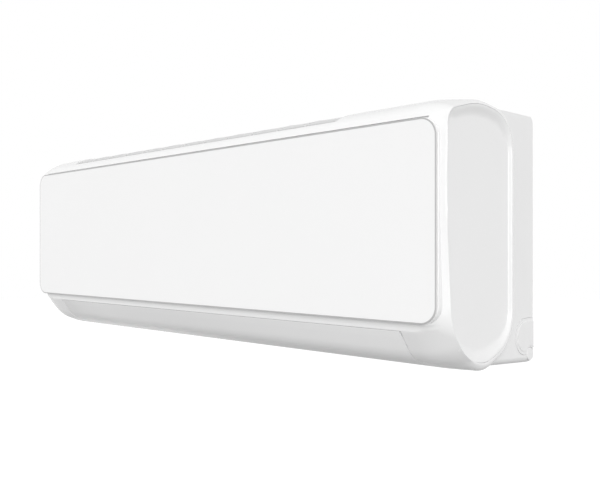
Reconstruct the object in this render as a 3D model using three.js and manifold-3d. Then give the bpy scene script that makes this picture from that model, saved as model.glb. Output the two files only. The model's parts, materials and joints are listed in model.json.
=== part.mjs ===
// Wall-hung indoor unit of a split air conditioner, as an assembly of separate pieces.
// Millimetres. X runs along the unit, +Z is up, the front faces -Y and the wall is the plane Y = 0.
// Inside the unit group, y is the depth behind the front glass, which makes the sections easy to read.

import * as THREE from 'three';
import { mergeVertices } from 'three/addons/utils/BufferGeometryUtils.js';
import Module from 'manifold-3d';

const wasm = await Module();
wasm.setup();

// ---------------------------------------------------------------- driving dimensions

const overallDepth = 217;

const panelLength = 866;
const panelHeight = 217;
const panelThickness = 3;
const panelCornerRadius = 20;
const panelTop = 123.7;

const endReach = 8; // from the panel's edge out to the end plane
const endRounding = 8.5; // along the rear edges
const endTaper = 45; // longer and slower along the top, the front and the lower front
const taperPower = 1.8;
const taperFront = 35; // depths between which the slow taper gives way to the rounding
const taperBack = 92;
const casingWall = 2.8;
const casingFrontBack = 13.5; // back of the casing's front wall
const casingFrontFace = 11; // front of that wall, inside the pocket behind the panel
const neckFront = 3.5; // land behind the panel's edge
const neckGap = 0.6; // seam between the panel and the neck
const coveReach = 9.5; // how far the cove runs out from the neck
const coveDepth = 6;
const coveSideDepth = 4.4; // it is shallower along the short sides
const endOpeningFront = 9.6; // front edge of the openings that take the end caps

const chassisWall = 3;
const chassisStep = 8; // from an end plane in to the chassis's side wall
const chassisBack = 215.4;
const chassisTopFront = 127;
const chassisBottomFront = 97.5;
const chassisBottom = -147.2; // at that front edge; the underside falls a little towards the wall

const louverLeft = -368; // the louver's ends lie a little to the right of the unit's middle
const louverRight = 380.6;
const louverGap = 0.7; // cut line between the louver and a cheek
const louverWall = 3;
const louverPinRadius = 3;

const airLeft = -336.2; // inner faces of the two bulkheads: the air passes between them
const airRight = 291.7;
const bulkheadWall = 2.5;

const fanRadius = 49;
const fanY = 118;
const fanZ = -50;
const fanShaftRadius = 4;
const fanBladeCount = 18;
const motorRadius = 36;

const vaneCount = 8;
const vanePitch = 76;
const vaneHeight = 30;
const vaneFrontChord = 16;
const vaneRearChord = 8;
const vaneThickness = 1.6;
const vanePinRadius = 2;
const linkPinRadius = 1.3;
const linkCrank = 12;

const coilThickness = 26;
const coilPlate = 1.5;
const filterThickness = 2;
const plateThickness = 1.2;

const runningGap = 0.3; // between neighbours that touch or turn in the real unit

// ---------------------------------------------------------------- worked-out places

const halfLength = panelLength / 2;
const endX = halfLength + endReach;
const chassisHalf = endX - chassisStep;
const panelBottom = panelTop - panelHeight;
const airMiddle = (airLeft + airRight) / 2;
const pocketInset = 6.5;
const pocketHalf = halfLength - pocketInset;
const pocketBottom = panelBottom + pocketInset;
const pocketTop = panelTop - pocketInset;
const hingeY = 6.5;
const hingeZ = panelTop - 2.5;
const hingeHalf = 400; // middle of each hinge lug
const louverY = 72;
const louverZ = -137;
const linkHeight = vaneHeight + 1.2;

// Section corners [y, z, fillet radius, steps], clockwise from the top front.
const middleCorners = [
  [2, 137.9, 40, 7],
  [58.5, 154.5, 96, 4],
  [157.2, 143.3, 53, 6],
  [157.2, -126.5, 59, 6],
  [82.5, -154.2, 67, 4],
  [33.3, -136.2, 46, 5],
  [2, -92.7, 3, 2],
  [1, 47.3, 590, 2],
];
const endCorners = [
  [9.3, 131.3, 21.6, 7],
  [75, 149.5, 140, 4],
  [148.8, 137, 45, 6],
  [148.8, -120.6, 51, 6],
  [82.5, -144.6, 59, 4],
  [42.8, -128.8, 64, 5],
  [16.8, -96.6, 64, 2],
  [5.9, 47.3, 590, 2],
];

// ---------------------------------------------------------------- colours

const finish = (colour, roughness, metalness = 0) =>
  new THREE.MeshStandardMaterial({ color: colour, roughness, metalness });
const white = () => finish(0xf3f3f3, 0.25);
const glass = () => finish(0xf7f7f7, 0.06);
const innerPlastic = () => finish(0xe4e5e6, 0.5);
const darkPlastic = () => finish(0x2c2e31, 0.45);
const steel = () => finish(0xb9bcc0, 0.38, 0.9);
const aluminium = () => finish(0xc8cbce, 0.4, 0.85);
const copper = () => finish(0xb8683f, 0.3, 0.95);
const brass = () => finish(0xb5964a, 0.3, 0.95);
const boardGreen = () => finish(0x2f6b45, 0.55);

// ---------------------------------------------------------------- shape helpers

/** Closed outline through corners [u, v, radius, steps]; a corner with no radius stays sharp. */
function rounded(corners) {
  const points = [];
  corners.forEach(([u, v, radius = 0, steps = 3], i) => {
    const here = new THREE.Vector2(u, v);
    if (radius === 0) {
      points.push(here);
      return;
    }
    const before = corners[(i + corners.length - 1) % corners.length];
    const after = corners[(i + 1) % corners.length];
    const toBefore = new THREE.Vector2(before[0] - u, before[1] - v).normalize();
    const toAfter = new THREE.Vector2(after[0] - u, after[1] - v).normalize();
    const half = Math.acos(THREE.MathUtils.clamp(toBefore.dot(toAfter), -1, 1)) / 2;
    const middle = toBefore.clone().add(toAfter).normalize();
    const centre = here.clone().addScaledVector(middle, radius / Math.sin(half));
    const start = here.clone().addScaledVector(toBefore, radius / Math.tan(half)).sub(centre);
    const side = Math.sign(toBefore.cross(toAfter));
    const turn = -side * (Math.PI - 2 * half);
    for (let k = 0; k <= steps; k++) {
      points.push(start.clone().rotateAround(new THREE.Vector2(), (turn * k) / steps).add(centre));
    }
  });
  return points;
}

const rectangle = (u0, u1, v0, v1, radius = 0, steps = 3) =>
  rounded([[u0, v0], [u1, v0], [u1, v1], [u0, v1]].map((corner) => [...corner, radius, steps]));

/** The outline moved inwards by a distance, point by point. */
function inset(points, distance) {
  const area = THREE.ShapeUtils.area(points);
  return points.map((point, i) => {
    const before = points[(i + points.length - 1) % points.length];
    const after = points[(i + 1) % points.length];
    const along = after.clone().sub(before).normalize();
    const inwards = new THREE.Vector2(-along.y, along.x).multiplyScalar(Math.sign(area));
    return point.clone().addScaledVector(inwards, distance);
  });
}

/** A section in (y, z) run along X. */
function alongX(points, x0, x1) {
  const geometry = new THREE.ExtrudeGeometry(new THREE.Shape(points), { depth: x1 - x0, bevelEnabled: false });
  const toYZ = new THREE.Matrix4().set(0, 0, 1, x0, 1, 0, 0, 0, 0, 1, 0, 0, 0, 0, 0, 1);
  return geometry.applyMatrix4(toYZ);
}

/** An outline in (x, z) run along Y. */
function alongY(points, y0, y1) {
  const geometry = new THREE.ExtrudeGeometry(new THREE.Shape(points), { depth: y1 - y0, bevelEnabled: false });
  return geometry.rotateX(Math.PI / 2).translate(0, y1, 0);
}

const block = (x0, x1, y0, y1, z0, z1) =>
  new THREE.BoxGeometry(x1 - x0, y1 - y0, z1 - z0).translate((x0 + x1) / 2, (y0 + y1) / 2, (z0 + z1) / 2);

/** A round bar between two points. */
function rod(radius, from, to, sides = 12) {
  const start = new THREE.Vector3(...from);
  const end = new THREE.Vector3(...to);
  const along = end.clone().sub(start);
  const geometry = new THREE.CylinderGeometry(radius, radius, along.length(), sides);
  const up = new THREE.Vector3(0, 1, 0);
  const turn = new THREE.Quaternion().setFromUnitVectors(up, along.clone().normalize());
  return geometry.applyQuaternion(turn).translate(...start.add(end).multiplyScalar(0.5).toArray());
}

/** A tube along a polyline whose corners are rounded. */
function bentTube(radius, points, bend, sides = 8) {
  const path = new THREE.CurvePath();
  const corners = points.map((point) => new THREE.Vector3(...point));
  let last = corners[0];
  for (let i = 1; i < corners.length - 1; i++) {
    const into = corners[i].clone().addScaledVector(corners[i - 1].clone().sub(corners[i]).normalize(), bend);
    const out = corners[i].clone().addScaledVector(corners[i + 1].clone().sub(corners[i]).normalize(), bend);
    path.add(new THREE.LineCurve3(last, into));
    path.add(new THREE.QuadraticBezierCurve3(into, corners[i], out));
    last = out;
  }
  path.add(new THREE.LineCurve3(last, corners[corners.length - 1]));
  const section = new THREE.Shape();
  section.absarc(0, 0, radius, 0, 2 * Math.PI);
  const steps = Math.max(12, Math.round(path.getLength() / (radius * 5)));
  return new THREE.ExtrudeGeometry(section, { steps, curveSegments: sides / 2, extrudePath: path });
}

/** A closed skin through rings of equally many points, capped at both ends or joined into a loop. */
function loft(rings, { loop = false, flat = null } = {}) {
  const count = rings[0].length;
  const position = rings.flat().flatMap((point) => point.toArray());
  const index = [];
  const last = loop ? rings.length : rings.length - 1;
  for (let r = 0; r < last; r++) {
    const a = r * count;
    const b = ((r + 1) % rings.length) * count;
    for (let i = 0; i < count; i++) {
      const j = (i + 1) % count;
      index.push(a + i, a + j, b + j, a + i, b + j, b + i);
    }
  }
  if (!loop) {
    const outline = rings[0].map(flat);
    const cap = THREE.ShapeUtils.triangulateShape(outline, []);
    const top = (rings.length - 1) * count;
    for (const [i, second, third] of cap) {
      const [j, k] = THREE.ShapeUtils.isClockWise(outline) ? [third, second] : [second, third];
      index.push(i, k, j, top + i, top + j, top + k);
    }
  }
  const geometry = new THREE.BufferGeometry();
  geometry.setAttribute('position', new THREE.Float32BufferAttribute(position, 3));
  geometry.setIndex(index);
  return geometry;
}

/** The volume inside a closed indexed mesh, negative when its faces point inwards. */
function signedVolume(geometry) {
  const position = geometry.getAttribute('position');
  const index = geometry.getIndex();
  const corner = [new THREE.Vector3(), new THREE.Vector3(), new THREE.Vector3()];
  let volume = 0;
  for (let t = 0; t < index.count; t += 3) {
    corner.forEach((point, k) => point.fromBufferAttribute(position, index.getX(t + k)));
    volume += corner[0].dot(corner[1].clone().cross(corner[2])) / 6;
  }
  return volume;
}

/** A three.js geometry as a solid that can be joined and cut. */
function solid(geometry) {
  const bare = geometry.clone();
  bare.deleteAttribute('normal');
  bare.deleteAttribute('uv');
  const merged = mergeVertices(bare, 1e-4);
  const triVerts = Uint32Array.from(merged.getIndex().array);
  if (signedVolume(merged) < 0) {
    for (let t = 0; t < triVerts.length; t += 3) {
      [triVerts[t + 1], triVerts[t + 2]] = [triVerts[t + 2], triVerts[t + 1]];
    }
  }
  const vertProperties = Float32Array.from(merged.getAttribute('position').array);
  return new wasm.Manifold(new wasm.Mesh({ numProp: 3, vertProperties, triVerts }));
}

const join = (first, ...rest) => rest.reduce((sum, next) => sum.add(solid(next)), solid(first));
const cut = (body, ...tools) => tools.reduce((left, tool) => left.subtract(solid(tool)), body);

/** A solid back as a three.js geometry. */
function skin(body) {
  const mesh = body.getMesh();
  const geometry = new THREE.BufferGeometry();
  geometry.setAttribute('position', new THREE.Float32BufferAttribute(mesh.vertProperties, 3));
  geometry.setIndex(Array.from(mesh.triVerts));
  geometry.computeVertexNormals();
  return geometry;
}

const unit = new THREE.Group();
unit.position.y = -overallDepth;

/** Adds one named piece to the unit. */
function piece(name, body, material) {
  const mesh = new THREE.Mesh(skin(body), material);
  mesh.name = name;
  unit.add(mesh);
  return mesh;
}

// ---------------------------------------------------------------- front casing

const middleSection = rounded(middleCorners);
const endSection = rounded(endCorners);
const spaced = (x) => (point) => new THREE.Vector3(x, point.x, point.y);
const flatYZ = (point) => new THREE.Vector2(point.y, point.z);
const flatXZ = (point) => new THREE.Vector2(point.x, point.z);

/** The casing's section at a distance along the unit: the middle one, drawn in to the end one at both ends. */
function sectionAt(x) {
  const taper = THREE.MathUtils.clamp((x - endX + endTaper) / endTaper, 0, 1);
  const rounding = THREE.MathUtils.clamp((x - endX + endRounding) / endRounding, 0, 1);
  return middleSection.map((point, i) => {
    const rear = THREE.MathUtils.smoothstep(point.x, taperFront, taperBack);
    const share = THREE.MathUtils.lerp(1 - taper ** taperPower, Math.sqrt(1 - rounding ** 2), rear);
    return endSection[i].clone().lerp(point, share);
  });
}

/** A skin over the sections at these distances, the same to both sides of the middle. */
function bothWays(distances, shape) {
  const rings = distances.map((x) => [x, shape(sectionAt(x))]);
  const left = rings.map(([x, ring]) => ring.map(spaced(-x))).reverse();
  const right = rings.map(([x, ring]) => ring.map(spaced(x)));
  return loft([...left, ...right], { flat: flatYZ });
}

/** The casing's outer form. */
function casingForm() {
  const slow = [0, 0.3, 0.55].map((share) => endX - endTaper * (1 - share));
  const quick = [0, 0.38, 0.71, 0.92, 1].map((share) => endX - endRounding * (1 - share));
  return bothWays([...slow, ...quick], (ring) => ring);
}

/** The panel's outline grown by a distance all round, at one depth. */
function panelRing(growth, y) {
  const half = halfLength + growth;
  const outline = rectangle(
    -half, half, panelBottom - growth, panelTop + growth, panelCornerRadius + growth, 6);
  return outline.map((point) => new THREE.Vector3(point.x, y, point.y));
}

/** The panel's outline grown by a distance, set back by a share of the cove's depth at each place. */
function coveRing(growth, share) {
  const radius = panelCornerRadius + growth;
  return panelRing(growth, neckFront).map((point) => {
    const past = Math.abs(point.x) - halfLength + panelCornerRadius;
    const sideways = THREE.MathUtils.clamp(past / radius, 0, 1);
    const depth = THREE.MathUtils.lerp(coveDepth, coveSideDepth, sideways ** 2);
    return point.setY(neckFront + depth * share);
  });
}

/** The ring of space in front of the cove, between the neck and the outer crease. */
function coveSpace() {
  const steps = 4;
  const clear = -6; // ahead of the panel's face
  const rings = [];
  for (let k = 0; k <= steps; k++) {
    const angle = (Math.PI / 2) * (k / steps);
    rings.push(coveRing(neckGap + coveReach * (1 - Math.cos(angle)), Math.sin(angle)));
  }
  const outer = neckGap + coveReach + 6;
  rings.push(coveRing(outer, 1));
  rings.push(panelRing(outer, clear));
  rings.push(panelRing(neckGap, clear));
  return loft(rings, { loop: true });
}

const cavityHalf = chassisHalf - 3;

/** The space inside the casing, one wall in from its outer form. */
function cavitySpace() {
  const slow = [0, 0.3, 0.55].map((share) => endX - endTaper * (1 - share));
  return bothWays([...slow, cavityHalf], (ring) => inset(ring, casingWall).map(
    (point) => new THREE.Vector2(Math.max(point.x, casingFrontBack), point.y)));
}

const endOpeningInset = 0.9;

/** The end section moved inwards, and cut off straight behind the cove. */
const endInset = (distance, front) => inset(endSection, distance).map(
  (point) => new THREE.Vector2(Math.max(point.x, front), point.y));

const rearCutSection = [
  [chassisTopFront - 0.5, 175], [chassisTopFront - 0.5, -60], [chassisBottomFront - 0.5, -100],
  [chassisBottomFront - 0.5, -175], [240, -175], [240, 175],
].map(([y, z]) => new THREE.Vector2(y, z));

// The intake is cut asymmetrically: the electrical side on the right stays closed.
const intakeLeft = -329;
const intakeRight = 284;
const intakeRamp = 8;
const intakeFront = 14.9;
const intakeBack = chassisTopFront - 4;

function intakeSpace() {
  const outline = [
    [intakeLeft, 100], [intakeLeft, 137.1], [intakeLeft - intakeRamp, 165],
    [intakeRight + intakeRamp, 165], [intakeRight, 137.1], [intakeRight, 100],
  ].map(([x, z]) => new THREE.Vector2(x, z));
  return alongY(outline, intakeFront, intakeBack);
}

const outletBack = 84.5;
const outletLeft = louverLeft - louverGap;
const outletRight = louverRight + louverGap;
const outletTop = -103.2;
const outletSpace = () => alongX(
  [[-5, outletTop], [40, outletTop], [outletBack, -120], [outletBack, -170], [-5, -170]].map(
    ([y, z]) => new THREE.Vector2(y, z)), outletLeft, outletRight);

const cheekSection = [
  [22, -104], [60, -104], [90, -120], [90, -148.2], [72, -147.8], [48, -139], [24, -117],
].map(([y, z]) => new THREE.Vector2(y, z));
const cheekWall = 3;
const screwPlaces = [-300, 0, 240];
const screwZ = pocketBottom + 4.8;
const buttonX = 370;
const buttonZ = pocketBottom + 26.8;
const displayBottom = pocketBottom + 16.8;
const displayTop = displayBottom + 20;
const displayRim = 4; // flange round the lens
const panLipTop = screwZ + 16; // the pan's front lip takes the casing's screws
const buttonRadius = 4;
const filterWindows = [[-322, -30], [-14, 278]];

function frontCasing() {
  let casing = cut(
    solid(casingForm()),
    cavitySpace(),
    alongX(endInset(endOpeningInset, endOpeningFront), -endX - 5, -cavityHalf + 1),
    alongX(endInset(endOpeningInset, endOpeningFront), cavityHalf - 1, endX + 5),
    coveSpace(),
    alongX(rearCutSection, -chassisHalf - 0.4, chassisHalf + 0.4),
    intakeSpace(),
    outletSpace(),
    // the panel's own room, then the pocket behind it and the room its top edge swings through
    loft([panelRing(neckGap, -8), panelRing(neckGap, neckFront)], { flat: flatXZ }),
    alongY(rectangle(-pocketHalf, pocketHalf, pocketBottom, pocketTop, 14, 3), -8, casingFrontFace),
    block(-hingeHalf - 19, hingeHalf + 19, -8, 10.6, pocketTop - 6, panelTop + 2.6),
  );
  const cheeks = [outletLeft - cheekWall, outletRight].map((x) => alongX(cheekSection, x, x + cheekWall));
  const lugRadius = 3.2;
  const lugs = [-1, 1].flatMap((side) => {
    const x = side * (hingeHalf + 4);
    return [
      rod(lugRadius, [x - 2, hingeY, hingeZ], [x + 2, hingeY, hingeZ], 16),
      block(x - 2, x + 2, hingeY, casingFrontFace + 1, hingeZ - lugRadius, hingeZ + lugRadius),
    ];
  });
  for (const part of [...cheeks, ...lugs]) casing = casing.add(solid(part));
  const pinHole = louverPinRadius + runningGap;
  casing = cut(
    casing,
    rod(pinHole, [outletLeft - 9, louverY, louverZ], [outletLeft + 5, louverY, louverZ]),
    rod(pinHole, [outletRight - 5, louverY, louverZ], [outletRight + 9, louverY, louverZ]),
    rod(2 + runningGap, [-hingeHalf - 9, hingeY, hingeZ], [-hingeHalf + 1, hingeY, hingeZ]),
    rod(2 + runningGap, [hingeHalf - 1, hingeY, hingeZ], [hingeHalf + 9, hingeY, hingeZ]),
    rod(buttonRadius + runningGap, [buttonX, 8, buttonZ], [buttonX, 20, buttonZ], 16),
    ...filterWindows.map(([x0, x1]) => alongY(rectangle(x0, x1, pocketBottom + 26.8, 108, 6, 2), 8, 20)),
    ...screwPlaces.map((x) => rod(1.8 + runningGap, [x, 8, screwZ], [x, 20, screwZ])),
  );
  return casing;
}
piece('front_casing', frontCasing(), white());

// ---------------------------------------------------------------- dished end caps

const capBack = chassisHalf + 0.4;
const capEdgeInset = endOpeningInset + runningGap;
const dishFloor = 5.5; // how far the dish lies behind the end plane
const dishWidth = 13; // how far its wall runs in from the edge

function endCap(side) {
  const frontEdge = endOpeningFront + runningGap - capEdgeInset;
  const ring = (distance, x) => endInset(distance, frontEdge + distance).map(spaced(side * x));
  const floorX = endX - dishFloor;
  return loft([
    ring(dishWidth, floorX),
    ring(dishWidth * 0.72, floorX + dishFloor * 0.3),
    ring(dishWidth * 0.42, endX - dishFloor * 0.2),
    ring(capEdgeInset + 1.4, endX),
    ring(capEdgeInset, endX - 0.8),
    ring(capEdgeInset, capBack),
    ring(dishWidth, capBack),
  ], { flat: flatYZ });
}
piece('end_cap_left', solid(endCap(-1)), white());
piece('end_cap_right', solid(endCap(1)), white());

// ---------------------------------------------------------------- top intake grille

const grilleDrop = 1; // below the casing's own top surface
const grilleBarHeight = 3.5;
const grilleBars = 8;
const grilleRibs = 7;

/** Height of the casing's top surface at a depth, read from the middle section. */
function topSurface(y) {
  for (let i = 0; i < middleSection.length; i++) {
    const a = middleSection[i];
    const b = middleSection[(i + 1) % middleSection.length];
    const spans = a.y > 90 && b.y > 90 && a.x <= y && b.x > y;
    if (spans) return a.y + ((b.y - a.y) * (y - a.x)) / (b.x - a.x);
  }
  return 0;
}

function intakeGrille() {
  const left = intakeLeft + 2;
  const right = intakeRight - 2;
  const front = intakeFront + runningGap + 0.2;
  const back = intakeBack - runningGap;
  const spineSteps = 7;
  const upper = [];
  const lower = [];
  for (let k = 0; k <= spineSteps; k++) {
    const y = front + ((back - front) * k) / spineSteps;
    upper.push(new THREE.Vector2(y, topSurface(y) - grilleDrop));
    lower.push(new THREE.Vector2(y, topSurface(y) - grilleDrop - grilleBarHeight));
  }
  const arch = [...upper, ...lower.reverse()];
  const ribs = [];
  for (let k = 0; k < grilleRibs; k++) {
    const x = left + 1 + ((right - left - 2) * k) / (grilleRibs - 1);
    ribs.push(alongX(arch, x - 1, x + 1));
  }
  const bars = [];
  for (let k = 0; k < grilleBars; k++) {
    const y = front + 1.2 + ((back - front - 2.4) * k) / (grilleBars - 1);
    const z = topSurface(y) - grilleDrop - 0.5;
    bars.push(block(left + 0.5, right - 0.5, y - 1.2, y + 1.2, z - 2.6, z));
  }
  return join(...ribs, ...bars);
}
piece('intake_grille', intakeGrille(), innerPlastic());

// ---------------------------------------------------------------- front panel

const frameInset = 8.5;
const frameFront = panelThickness + runningGap;
const frameBack = 8.3;
const frameBar = 12;
const armHalf = hingeHalf - 4; // middle of each hinge arm

function frontPanel() {
  return solid(alongY(
    rectangle(-halfLength, halfLength, panelBottom, panelTop, panelCornerRadius, 6), 0, panelThickness));
}
piece('front_panel', frontPanel(), glass());

function panelFrame() {
  const half = halfLength - frameInset;
  const bottom = panelBottom + frameInset;
  const top = panelTop - frameInset - 4;
  let frame = cut(
    solid(alongY(rectangle(-half, half, bottom, top, 12, 3), frameFront, frameBack)),
    alongY(rectangle(-half + frameBar, half - frameBar, bottom + frameBar, top - frameBar, 4, 2), 0, 20),
  );
  for (const x of [-220, 0, 220]) {
    frame = frame.add(solid(block(x - 4, x + 4, frameFront, frameBack, bottom + 4, top - 4)));
  }
  for (const side of [-1, 1]) {
    const x = side * armHalf;
    frame = frame.add(solid(block(x - 4, x + 4, frameFront, frameBack + 1, top - 5, hingeZ + 2.2)));
    frame = cut(frame, rod(2 + runningGap, [x - 9, hingeY, hingeZ], [x + 9, hingeY, hingeZ]));
  }
  return frame;
}
piece('panel_frame', panelFrame(), innerPlastic());

for (const [name, side] of [['panel_pivot_left', -1], ['panel_pivot_right', 1]]) {
  const inner = side * (armHalf - 8);
  const outer = side * (hingeHalf + 6.5);
  const head = side * (armHalf - 4 - runningGap);
  const pin = join(
    rod(2, [inner, hingeY, hingeZ], [outer, hingeY, hingeZ]),
    rod(2.6, [inner, hingeY, hingeZ], [head, hingeY, hingeZ]),
  );
  piece(name, pin, innerPlastic());
}

// ---------------------------------------------------------------- rear chassis

const recessFront = 168.1;
const recessTop = -86;
const knockY = 193;
const knockZ = -120.5;
const knockRadius = 22;
const smallKnockY = 207.5;
const smallKnockZ = -143;
const smallKnockRadius = 8;
const bearingSeat = 14; // radius of the hole that the fan's bush sits in
const plateHooks = [-180, 180];
const hookZ = 118;

const chassisFall = 7.2; // of the underside, from its front edge to the wall
const bottomLine = (y) =>
  chassisBottom - (chassisFall * (y - chassisBottomFront)) / (chassisBack - chassisBottomFront);
const chassisOutline = () => rounded([
  [chassisTopFront, 148], [chassisBack, 149.9, 8, 3], [chassisBack, bottomLine(chassisBack), 8, 3],
  [chassisBottomFront, chassisBottom], [chassisBottomFront, -100], [chassisTopFront, -60],
]);

/** The larger pipe knock-out, a U that is open towards the wall, grown by a distance. */
function knockOutline(growth, back) {
  const r = knockRadius + growth;
  return rounded([
    [back, knockZ + r], [knockY - r, knockZ + r, r - 0.2, 6],
    [knockY - r, knockZ - r, r - 0.2, 6], [back, knockZ - r],
  ]);
}

const bulkheadSection = [
  [212, 40], [170, 8], [150, 22], [118, 22], [66, 0], [67, -58],
  [17.4, -92], [17.4, -97], [56, -118], [70, -117], [82, -121], [90, -134],
  [97.4, -142.5], [165.6, -146.5], [165.6, -96.5], [176.4, -83], [212, -83],
].map(([y, z]) => new THREE.Vector2(y, z));

function rearChassis() {
  const wall = chassisWall;
  const inside = rounded([
    [60, 144.2], [chassisBack - wall, 146, 5, 2],
    [chassisBack - wall, recessTop + wall], [176, recessTop + wall],
    [recessFront - wall, -97], [recessFront - wall, bottomLine(recessFront - wall) + wall], [60, -141],
  ]);
  const recess = rounded([
    [recessFront, -98.1], [177.5, recessTop], [240, recessTop], [240, bottomLine(chassisBack) + wall],
    [recessFront, bottomLine(recessFront) + wall],
  ]);
  let chassis = cut(
    solid(alongX(chassisOutline(), -chassisHalf, chassisHalf)),
    alongX(inside, -chassisHalf + wall, chassisHalf - wall),
    alongX(recess, -chassisHalf + wall, chassisHalf - wall),
  );
  chassis = chassis.add(solid(alongX(bulkheadSection, airLeft - bulkheadWall, airLeft - runningGap)));
  chassis = chassis.add(solid(alongX(bulkheadSection, airRight + runningGap, airRight + bulkheadWall)));
  const motorShaftHole = 7;
  chassis = cut(
    chassis,
    rod(bearingSeat, [airLeft - 8, fanY, fanZ], [airLeft + 4, fanY, fanZ], 20),
    rod(motorShaftHole, [airRight - 4, fanY, fanZ], [airRight + 8, fanY, fanZ], 16),
    ...[-1, 1].flatMap((side) => {
      const x0 = side * chassisHalf - wall - 2;
      const x1 = side * chassisHalf + wall + 2;
      const small = smallKnockRadius + runningGap;
      return [
        alongX(knockOutline(runningGap, chassisBack + 5), x0, x1),
        rod(small, [x0, smallKnockY, smallKnockZ], [x1, smallKnockY, smallKnockZ], 20),
      ];
    }),
    ...plateHooks.map(
      (x) => block(x - 11, x + 11, chassisBack - wall - 2, chassisBack + 2, hookZ - 4, hookZ + 12)),
    // the pipes come down into the recess through its ceiling
    block(372, 408, 182, 210, recessTop - 2, recessTop + wall + 2),
  );
  return chassis;
}
piece('rear_chassis', rearChassis(), white());

for (const [hand, side] of [['left', -1], ['right', 1]]) {
  const outer = side * (chassisHalf - 0.6);
  const inner = side * (chassisHalf - chassisWall + 0.4);
  const [x0, x1] = [Math.min(outer, inner), Math.max(outer, inner)];
  const disc = (radius, reach) => rod(
    radius, [x0 - reach, smallKnockY, smallKnockZ], [x1 + reach, smallKnockY, smallKnockZ], 20);
  const lidBack = chassisBack - runningGap;
  const lid = solid(alongX(knockOutline(0, lidBack), x0, x1));
  const large = cut(lid, disc(smallKnockRadius + 2 * runningGap, 5));
  piece(`knockout_large_${hand}`, large, white());
  const behind = block(x0 - 5, x1 + 5, lidBack, lidBack + 20, -170, -100);
  const small = cut(solid(disc(smallKnockRadius, 0)), behind);
  piece(`knockout_small_${hand}`, small, white());
}

// ---------------------------------------------------------------- air duct

const scrollWall = 2.5;
const scrollStart = -40; // degrees round the fan, from straight back towards straight down
const scrollEnd = 90;
const scrollNear = fanRadius + 4;
const scrollGrowth = 17;
const floorLip = [91, -142.6];

/** A point round the fan; degrees run from straight back down towards the bottom. */
function aroundFan(degrees, radius) {
  const angle = THREE.MathUtils.degToRad(degrees);
  return new THREE.Vector2(fanY + radius * Math.cos(angle), fanZ - radius * Math.sin(angle));
}

const floorTop = aroundFan(scrollEnd, scrollNear + scrollGrowth);
const floorAlong = new THREE.Vector2(floorLip[0], floorLip[1]).sub(floorTop).normalize();
const floorUp = new THREE.Vector2(floorAlong.y, -floorAlong.x);

/** The point of the outlet floor under the vanes' pivots. */
const vaneBase = floorTop.clone().addScaledVector(floorAlong, 10);

function scrollDuct() {
  const inner = [];
  const steps = 9;
  for (let k = 0; k <= steps; k++) {
    const share = k / steps;
    inner.push(aroundFan(
      scrollStart + (scrollEnd - scrollStart) * share, scrollNear + scrollGrowth * share ** 1.6));
  }
  inner.push(new THREE.Vector2(...floorLip));
  const outer = inner.map((point, i) => {
    const before = inner[Math.max(i - 1, 0)];
    const after = inner[Math.min(i + 1, inner.length - 1)];
    const along = after.clone().sub(before).normalize();
    return point.clone().addScaledVector(new THREE.Vector2(-along.y, along.x), scrollWall);
  });
  const strip = [...inner, ...outer.reverse()];
  const tip = inner[0];
  const gutter = [
    [tip.x - 1.6, tip.y - 2.1], [tip.x + 1.9, tip.y - 2.1], [164, -1], [182, -1], [186.5, 18],
    [184, 18], [180, 2], [162, 2],
  ].map(([y, z]) => new THREE.Vector2(y, z));
  const left = airLeft;
  const right = airRight;
  const body = join(alongX(strip, left, right), alongX(gutter, left, right));
  const holes = vanePlaces.map((x) => {
    const from = vaneBase.clone().addScaledVector(floorUp, 4);
    const to = vaneBase.clone().addScaledVector(floorUp, -9);
    return rod(vanePinRadius + runningGap, [x, from.x, from.y], [x, to.x, to.y], 10);
  });
  return cut(body, ...holes);
}

const vanePlaces = Array.from(
  { length: vaneCount }, (_, i) => airMiddle + (i - (vaneCount - 1) / 2) * vanePitch);
piece('scroll_duct', scrollDuct(), innerPlastic());

const panSection = [
  [17.2, panLipTop], [20, panLipTop], [20, -93], [60, -66.8], [60, -58], [66, -58], [66, -66], [17.2, -98.5],
].map(([y, z]) => new THREE.Vector2(y, z));
piece('drain_pan', solid(alongX(panSection, airLeft, airRight)), innerPlastic());

// ---------------------------------------------------------------- evaporator

const coilLeft = airLeft + 6;
const coilRight = airRight - 6;
const coilSections = [
  { name: 'coil_front', from: [40, -68], to: [40, 62], bends: 4 },
  { name: 'coil_upper', from: [46, 70], to: [92, 118], bends: 2 },
  { name: 'coil_rear', from: [116, 110], to: [166, 30], bends: 3 },
];
const tubeRadius = 3.5;

/** Corners of a straight coil section seen from the side, grown by a distance. */
function coilOutline({ from, to }, growth = 0) {
  const start = new THREE.Vector2(...from);
  const end = new THREE.Vector2(...to);
  const along = end.clone().sub(start).normalize();
  const across = new THREE.Vector2(-along.y, along.x).multiplyScalar(coilThickness / 2 + growth);
  start.addScaledVector(along, -growth);
  end.addScaledVector(along, growth);
  const sides = [[start, 1], [start, -1], [end, -1], [end, 1]];
  return sides.map(([place, side]) => place.clone().addScaledVector(across, side));
}

/** One U of tube outside a coil's end plate, joining two rows. */
function returnBend(x, a, b) {
  const reach = 14;
  const middle = [(a[0] + b[0]) / 2, (a[1] + b[1]) / 2];
  return bentTube(tubeRadius, [
    [x, ...a], [x - reach, ...a], [x - reach, ...middle], [x - reach, ...b], [x, ...b],
  ], 5, 6);
}

for (const section of coilSections) {
  let coil = solid(alongX(coilOutline(section), coilLeft, coilRight));
  const start = new THREE.Vector2(...section.from);
  const along = new THREE.Vector2(...section.to).sub(start);
  for (let k = 0; k < section.bends; k++) {
    const a = start.clone().addScaledVector(along, (k + 0.3) / section.bends);
    const b = start.clone().addScaledVector(along, (k + 0.7) / section.bends);
    const bend = returnBend(coilLeft + 0.5, a.toArray(), b.toArray());
    coil = coil.add(solid(bend));
  }
  piece(section.name, coil, aluminium());
}

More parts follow.
